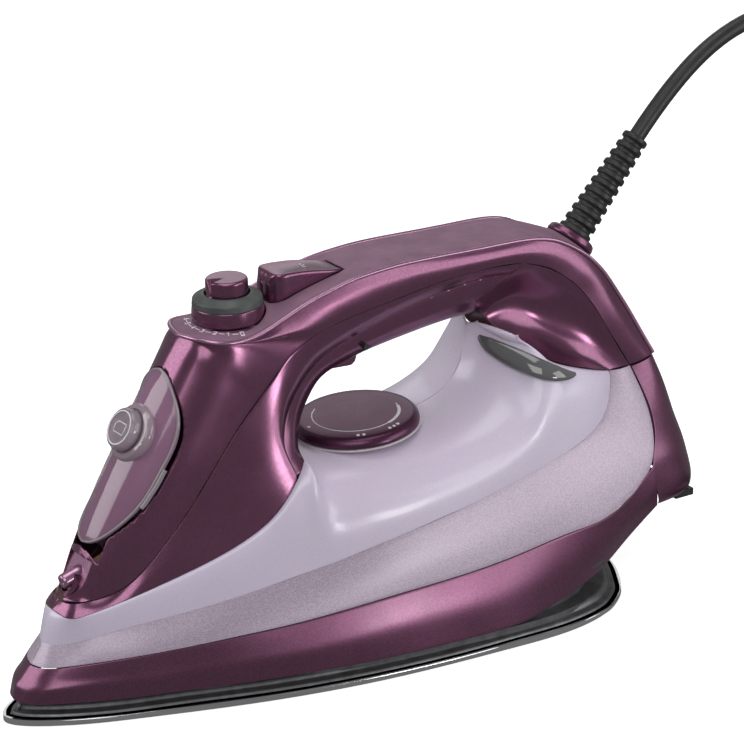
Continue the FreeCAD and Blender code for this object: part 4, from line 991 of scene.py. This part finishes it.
DIGITS = {
    # each digit as one line through these points
    "0": ((0, 0), (1, 0), (1, 2), (0, 2), (0, 0)),
    "1": ((0.5, 0), (0.5, 2), (0.1, 1.6)),
    "2": ((0, 2), (1, 2), (1, 1), (0, 0), (1, 0)),
    "3": ((0, 2), (1, 2), (0.4, 1.1), (1, 1), (1, 0), (0, 0)),
    "4": ((0.8, 0), (0.8, 2), (0, 0.7), (1, 0.7)),
    "5": ((1, 2), (0, 2), (0, 1.1), (1, 1), (1, 0), (0, 0)),
    "6": ((0.9, 2), (0, 1), (0, 0), (1, 0), (1, 1), (0, 1)),
}


deck = surface_tree(insert_ribs, 120, 20)


def deck_print(name, outline, angle):
    """A print on the deck around the knob; outline in mm, read from outside the knob."""
    out = Vector((math.cos(angle), math.sin(angle), 0))
    tangent = Vector((-out.y, out.x, 0))
    centre = knob_base + out * DIGIT_RADIUS * MM
    bm = bmesh.new()
    rows = []
    for rise in (0.12, -0.3):
        row = []
        for a, b in outline:
            spot = centre + (tangent * a - out * b) * MM
            hit = deck.ray_cast(spot + Vector((0, 0, 0.03)), -UP)
            level = hit[0].z if hit[0] is not None else spot.z
            row.append(bm.verts.new((spot.x, spot.y, level + rise * MM)))
        rows.append(row)
    bm.faces.new(rows[0])
    bm.faces.new(rows[1][::-1])
    bridge(bm, rows)
    link(name, baked(name, bm), "print_white", "root")


DIGIT_RADIUS, FIRST_DIGIT, DIGIT_STEP = 16.0, -102, -19
for index, digit in enumerate("0123456"):
    angle = math.radians(FIRST_DIGIT + DIGIT_STEP * index)
    corners = [((a - 0.5) * 1.2, (b - 1) * 0.95) for a, b in DIGITS[digit]]
    for part, ends in enumerate(zip(corners, corners[1:])):
        deck_print("dial_digit_%s_%d" % (digit, part), stroke(*ends, 0.32), angle)
    if digit != "6":
        deck_print("dial_dash_%s" % digit, stroke((-1.0, 0), (1.0, 0), 0.34),
                   angle + math.radians(DIGIT_STEP / 2))

# ---- Wedge button for the spray ----
wedge_rows = []
for station, top, foot in ((119.6, 157.2, 141.6), (120.6, 159.3, 141.8), (122.4, 159.8, 142.4),
                           (128, 159.7, 145.6), (134, 159.3, 149.2), (140, 158.5, 151.6),
                           (146, 157.4, 152.8), (150, 156.7, 153.4), (151.9, 155.9, 153.6),
                           (152.4, 155.0, 153.6)):
    narrow = 1.0 if station < 140 else 1 - 0.28 * ((station - 140) / 12.4) ** 2
    narrow *= 1 - 0.42 * max(0, (124.5 - station) / 4.9) ** 2
    width = 8.3 * narrow
    dish = 0.5 * math.sin(math.pi * min(1, max(0, (station - 119) / 33)))
    row = []
    for a, b in ((0, top - dish), (0.45, top - dish * 0.8), (0.8, top - dish * 0.2),
                 (0.93, top - 0.1),
                 (0.985, top - 0.6), (1.0, top - 1.5), (1.0, (top + foot) / 2), (1.0, foot)):
        row.append((station, width * a, b))
    wedge_rows.append(row)
nose_row = [(119.3, p[1] * 0.93, min(p[2], 155.6)) for p in wedge_rows[0]]
end_row = [(152.6, p[1] * 0.9, min(p[2], 153.7)) for p in wedge_rows[-1]]
nose_centre = [(p[0] - 0.1, 0, p[2]) for p in nose_row]
wedge_grid = loft([nose_centre, nose_row] + wedge_rows + [end_row], 80, 26)
wedge_mesh = half_mesh("spray_button_cap", [wedge_grid])
bm = bmesh.new()
bm.from_mesh(wedge_mesh)
bmesh.ops.holes_fill(bm, edges=[e for e in bm.edges if e.is_boundary])
for face in bm.faces:
    face.smooth = len(face.verts) < 6
bm.to_mesh(wedge_mesh)
bm.free()
weighted(link("spray_button_cap", wedge_mesh, "plum_gloss", "spray_press",
              ("spray_button",)))
lift = Vector((-0.075, 0, 1)).normalized()
for index, ends in enumerate((((-3, 0), (-0.8, 0)), ((0.6, 1.2), (1.4, 1.9)),
                              ((0.6, 0), (1.8, 0)), ((0.6, -1.2), (1.4, -1.9)))):
    flat_print("spray_mark_%d" % index, stroke(*ends, 0.3), place(136, 0, 158.65), lift,
               "spray_press", 0.12)
apply_modifiers(insert)
POCKET = ((0.1, 5.3), (1.6, 7.0), (4.2, 8.5), (6.4, 8.9), (20, 8.9), (30, 8.3), (34.2, 6.8))
carve(insert, prism("wedge_pocket", [(a, -b) for a, b in POCKET] + list(POCKET[::-1]),
                    place(118.6, 0, 140), (ALONG, ACROSS, UP), 40))
carve(insert, lathe("knob_pocket", [(0, -0.8), (14.7, -0.8), (14.7, 20), (0, 20)], knob_base,
                    knob_axis, None))
lathe("knob_well", [(8.4, -1.4), (14.9, -1.4), (14.9, -0.9), (8.4, -0.9)], knob_base, knob_axis,
      "plum_skirt")

# A bead in the paler pearl along the deck's rim: its lighter colour is a painted highlight line
# along the rim's edge.
rim_line = loft(insert_ribs, 220, 4)[:, 0]
BEAD_RISE, BEAD_RADIUS = 0.45, 0.85
rim_points = [place(p[0], p[1], p[2] + BEAD_RISE) for p in rim_line[::-1]]
rim_points += [place(p[0], -p[1], p[2] + BEAD_RISE) for p in rim_line[1:]]
tube_piece("deck_rim_highlight_bead", rim_points, BEAD_RADIUS, "pale_pearl_and_rim_highlight")

# ---- Temperature dial on its light ring ----
dial_axis = Vector((-math.sin(math.radians(5.3)), 0, math.cos(math.radians(5.3))))
dial_base = place(162.3, 0, 87.2)
lathe("dial_body", [(3.0, 0), (25.2, 0), (25.6, 0.35), (25.7, 1.0), (25.3, 2.6), (24.2, 3.7),
                    (22.4, 4.25), (18, 4.5), (8, 4.68), (0, 4.7)], dial_base, dial_axis,
                    "dial_plum",
      "dial", ("temperature_dial",), steps=160)
lathe("dial_light_ring", [(3.0, -1.1), (25.6, -1.1), (26.1, -0.7), (26.1, -0.35), (25.7, -0.05),
                          (3.0, -0.05)], dial_base, dial_axis, "light_ring", "dial",
      ("dial_ring",), steps=160)
for name, height, width, start, stop in (("dial_ring_print", 4.42, 0.5, 125, 348),
                                         ("dial_wedge_print", 4.4, 1.3, -75, -20)):
    ring_print(name, dial_base + dial_axis * height * MM, dial_axis, 17.6, width, start, stop,
               "dial",
               0.16)
DOT, DOT_RADIUS, DOT_STEP = [(0, 4.0), (0.72, 4.0), (0.72, 4.5), (0.6, 4.58), (0, 4.6)], 21.3, 6.2
for spot, (angle, count) in enumerate(((175, 1), (-118, 2), (-78, 3))):
    for k in range(count):
        turn = math.radians(angle + (k - (count - 1) / 2) * DOT_STEP)
        offset = Vector((math.cos(turn), math.sin(turn), 0)) * DOT_RADIUS
        lathe("dial_dot_%d_%d" % (spot, k), DOT, dial_base + frame_of(dial_axis) @ offset * MM,
              dial_axis, "print_white", "dial", steps=20)

# ---- Smoked lens beside the handle's foot, heel seam backing, trigger, guard ----
LENS = ((217.0, 7.5, 115.5, 0.8), (217.8, 10.5, 113.8, 3.0), (221, 17.6, 111, 3.8),
        (224, 23.6, 109.2, 4.2), (227.2, 29.6, 107.6, 4.3), (231.5, 34.4, 105.6, 4.1),
        (237.5, 36.2, 103.6, 3.4), (243, 35.6, 102, 2.2), (246, 34.8, 101.4, 0.8))
LENS_RINGS, LENS_STEPS, LENS_FLATNESS = 60, 28, 0.42
path = smooth_curve([row[:3] for row in LENS], LENS_RINGS)
sizes = np.interp(np.linspace(0, 1, LENS_RINGS), np.linspace(0, 1, len(LENS)),
                  [row[3] for row in LENS])
bm = bmesh.new()
rings = []
for k, (point, size) in enumerate(zip(path, sizes)):
    ahead = Vector(path[min(k + 1, LENS_RINGS - 1)] - path[max(k - 1, 0)]).normalized()
    outward = Vector((-0.9, 0.4, 0.25)).lerp(Vector((0.3, 0.8, 0.5)), k / (LENS_RINGS - 1))
    outward = (outward - ahead * outward.dot(ahead)).normalized()
    upward = ahead.cross(outward)
    ring = []
    for step in range(LENS_STEPS):
        angle = 2 * math.pi * step / LENS_STEPS
        spot = (Vector(point) + outward * math.cos(angle) * size * LENS_FLATNESS
                + upward * math.sin(angle) * size)
        ring.append(bm.verts.new(place(spot.x, -spot.y, spot.z)))
    rings.append(ring)
bridge(bm, rings)
bm.faces.new(rings[0][::-1])
bm.faces.new(rings[-1])
lens_mesh = baked("status_lens_body", bm)
smooth_shade(lens_mesh)
link("status_lens_body", lens_mesh, "lens_grey", nodes=("status_lens",))

prism("heel_seam_backing", [(277, 41), (285, 41), (284, 53), (277, 53)], place(0, -41.6, 0),
      (ALONG, UP, ACROSS), 83.2, "plum_skirt", soften=0.3)

TRIGGER = ((138, 123), (137.8, 118.5), (139, 116.4), (141, 115.6), (156.4, 114.9), (158.2, 116.2),
           (160.8, 124.6))
prism("trigger_blade", [(s - 157, z - 125.5) for s, z in TRIGGER], place(157, -6, 125.5),
      (ALONG, UP, ACROSS), 12, "plum_skirt", "trigger", ("shot_trigger",), soften=0.9)


def guard_profile():
    """The ribbed sleeve's outline: a foot, eleven slimming ribs and a rounded tip."""
    outline = [(0, 0), (7.4, 0), (7.9, 0.6), (7.9, 2.6), (7.3, 3.2)]
    for rib in range(11):
        slim, foot = 0.16 * rib, 3.2 + 4.6 * rib
        outline += [(6.1 - slim, foot + 0.25), (6.05 - slim, foot + 1.7), (7.15 - slim, foot + 2.1),
                    (7.25 - slim, foot + 2.6), (7.2 - slim, foot + 3.9), (6.9 - slim, foot + 4.3)]
    outline += [(4.4, 53.3), (3.6, 53.6), (0, 53.6)]
    return outline


lathe("guard_sleeve", guard_profile(), guard_foot, axis_out, "black_rubber", "cord_swivel",
      ("cord_guard",), steps=64)
lathe("guard_collar", [(8.6, 1.5), (10.4, 1.5), (10.7, 2.4), (10.2, 4.4), (9.2, 5.2), (8.6, 5.0)],
      guard_foot, axis_out, "plum_skirt", soften=0.2)

# ---- Stage ----
FLOOR_HALF, FLOOR_LEVEL = 4, -0.0006
corners = [(x * FLOOR_HALF, y * FLOOR_HALF, FLOOR_LEVEL)
           for x, y in ((-1, -1), (1, -1), (1, 1), (-1, 1))]
floor_mesh = bpy.data.meshes.new("floor")
floor_mesh.from_pydata(corners, [], [(0, 1, 2, 3)])
floor = add("floor", floor_mesh)
floor_paint = Paint("floor_paint", Roughness=0.9, Emission_Strength=0.75)
floor_paint.shader.inputs["Base Color"].default_value = (0.9, 0.9, 0.9, 1)
floor_paint.shader.inputs["Emission Color"].default_value = (1, 1, 1, 1)
floor_mesh.materials.append(floor_paint.material)
floor.visible_glossy = False
floor.visible_diffuse = False

bpy.context.scene.view_settings.view_transform = "Standard"
world = bpy.data.worlds.new("Studio")
bpy.context.scene.world = world
world.use_nodes = True
world_nodes, world_links = world.node_tree.nodes, world.node_tree.links
backdrop = world_nodes["Background"]
backdrop.inputs["Color"].default_value = (1, 1, 1, 1)
# The camera sees a white backdrop; everything else is lit by a weaker one.
rays = world_nodes.new("ShaderNodeLightPath")
seen = world_nodes.new("ShaderNodeMapRange")
seen.inputs["To Min"].default_value = 0.24
seen.inputs["To Max"].default_value = 1.0
world_links.new(rays.outputs["Is Camera Ray"], seen.inputs["Value"])
world_links.new(seen.outputs["Result"], backdrop.inputs["Strength"])


# name, place, aim, width, height, power
SOFTBOXES = (("top", (-0.05, 0.1, 1.6), (0, 0, 0.05), 1.0, 1.0, 7),
             ("nose", (-0.86, -1.02, 1.1), (-0.05, 0, 0.08), 1.0, 1.0, 8),
             ("ridge", (-1.24, 0.72, 0.80), (0, 0, 0.08), 0.9, 0.9, 8),
             ("rear", (0.75, 1.3, 0.85), (0, 0, 0.08), 1.0, 0.7, 1.8),
             ("front", (1.05, -1.15, 0.50), (0, 0, 0.08), 1.0, 0.9, 7),
             ("strip", (0.43, -1.34, 0.13), (-0.05, 0, 0.10), 0.3, 0.24, 2.6))
for name, where, aim, width, height, power in SOFTBOXES:
    data = bpy.data.lights.new(name, "AREA")
    data.shape = "RECTANGLE"
    data.size, data.size_y, data.energy = width, height, power
    lamp = add(name, data)
    lamp.location = where
    face_towards(lamp, Vector(aim) - Vector(where))
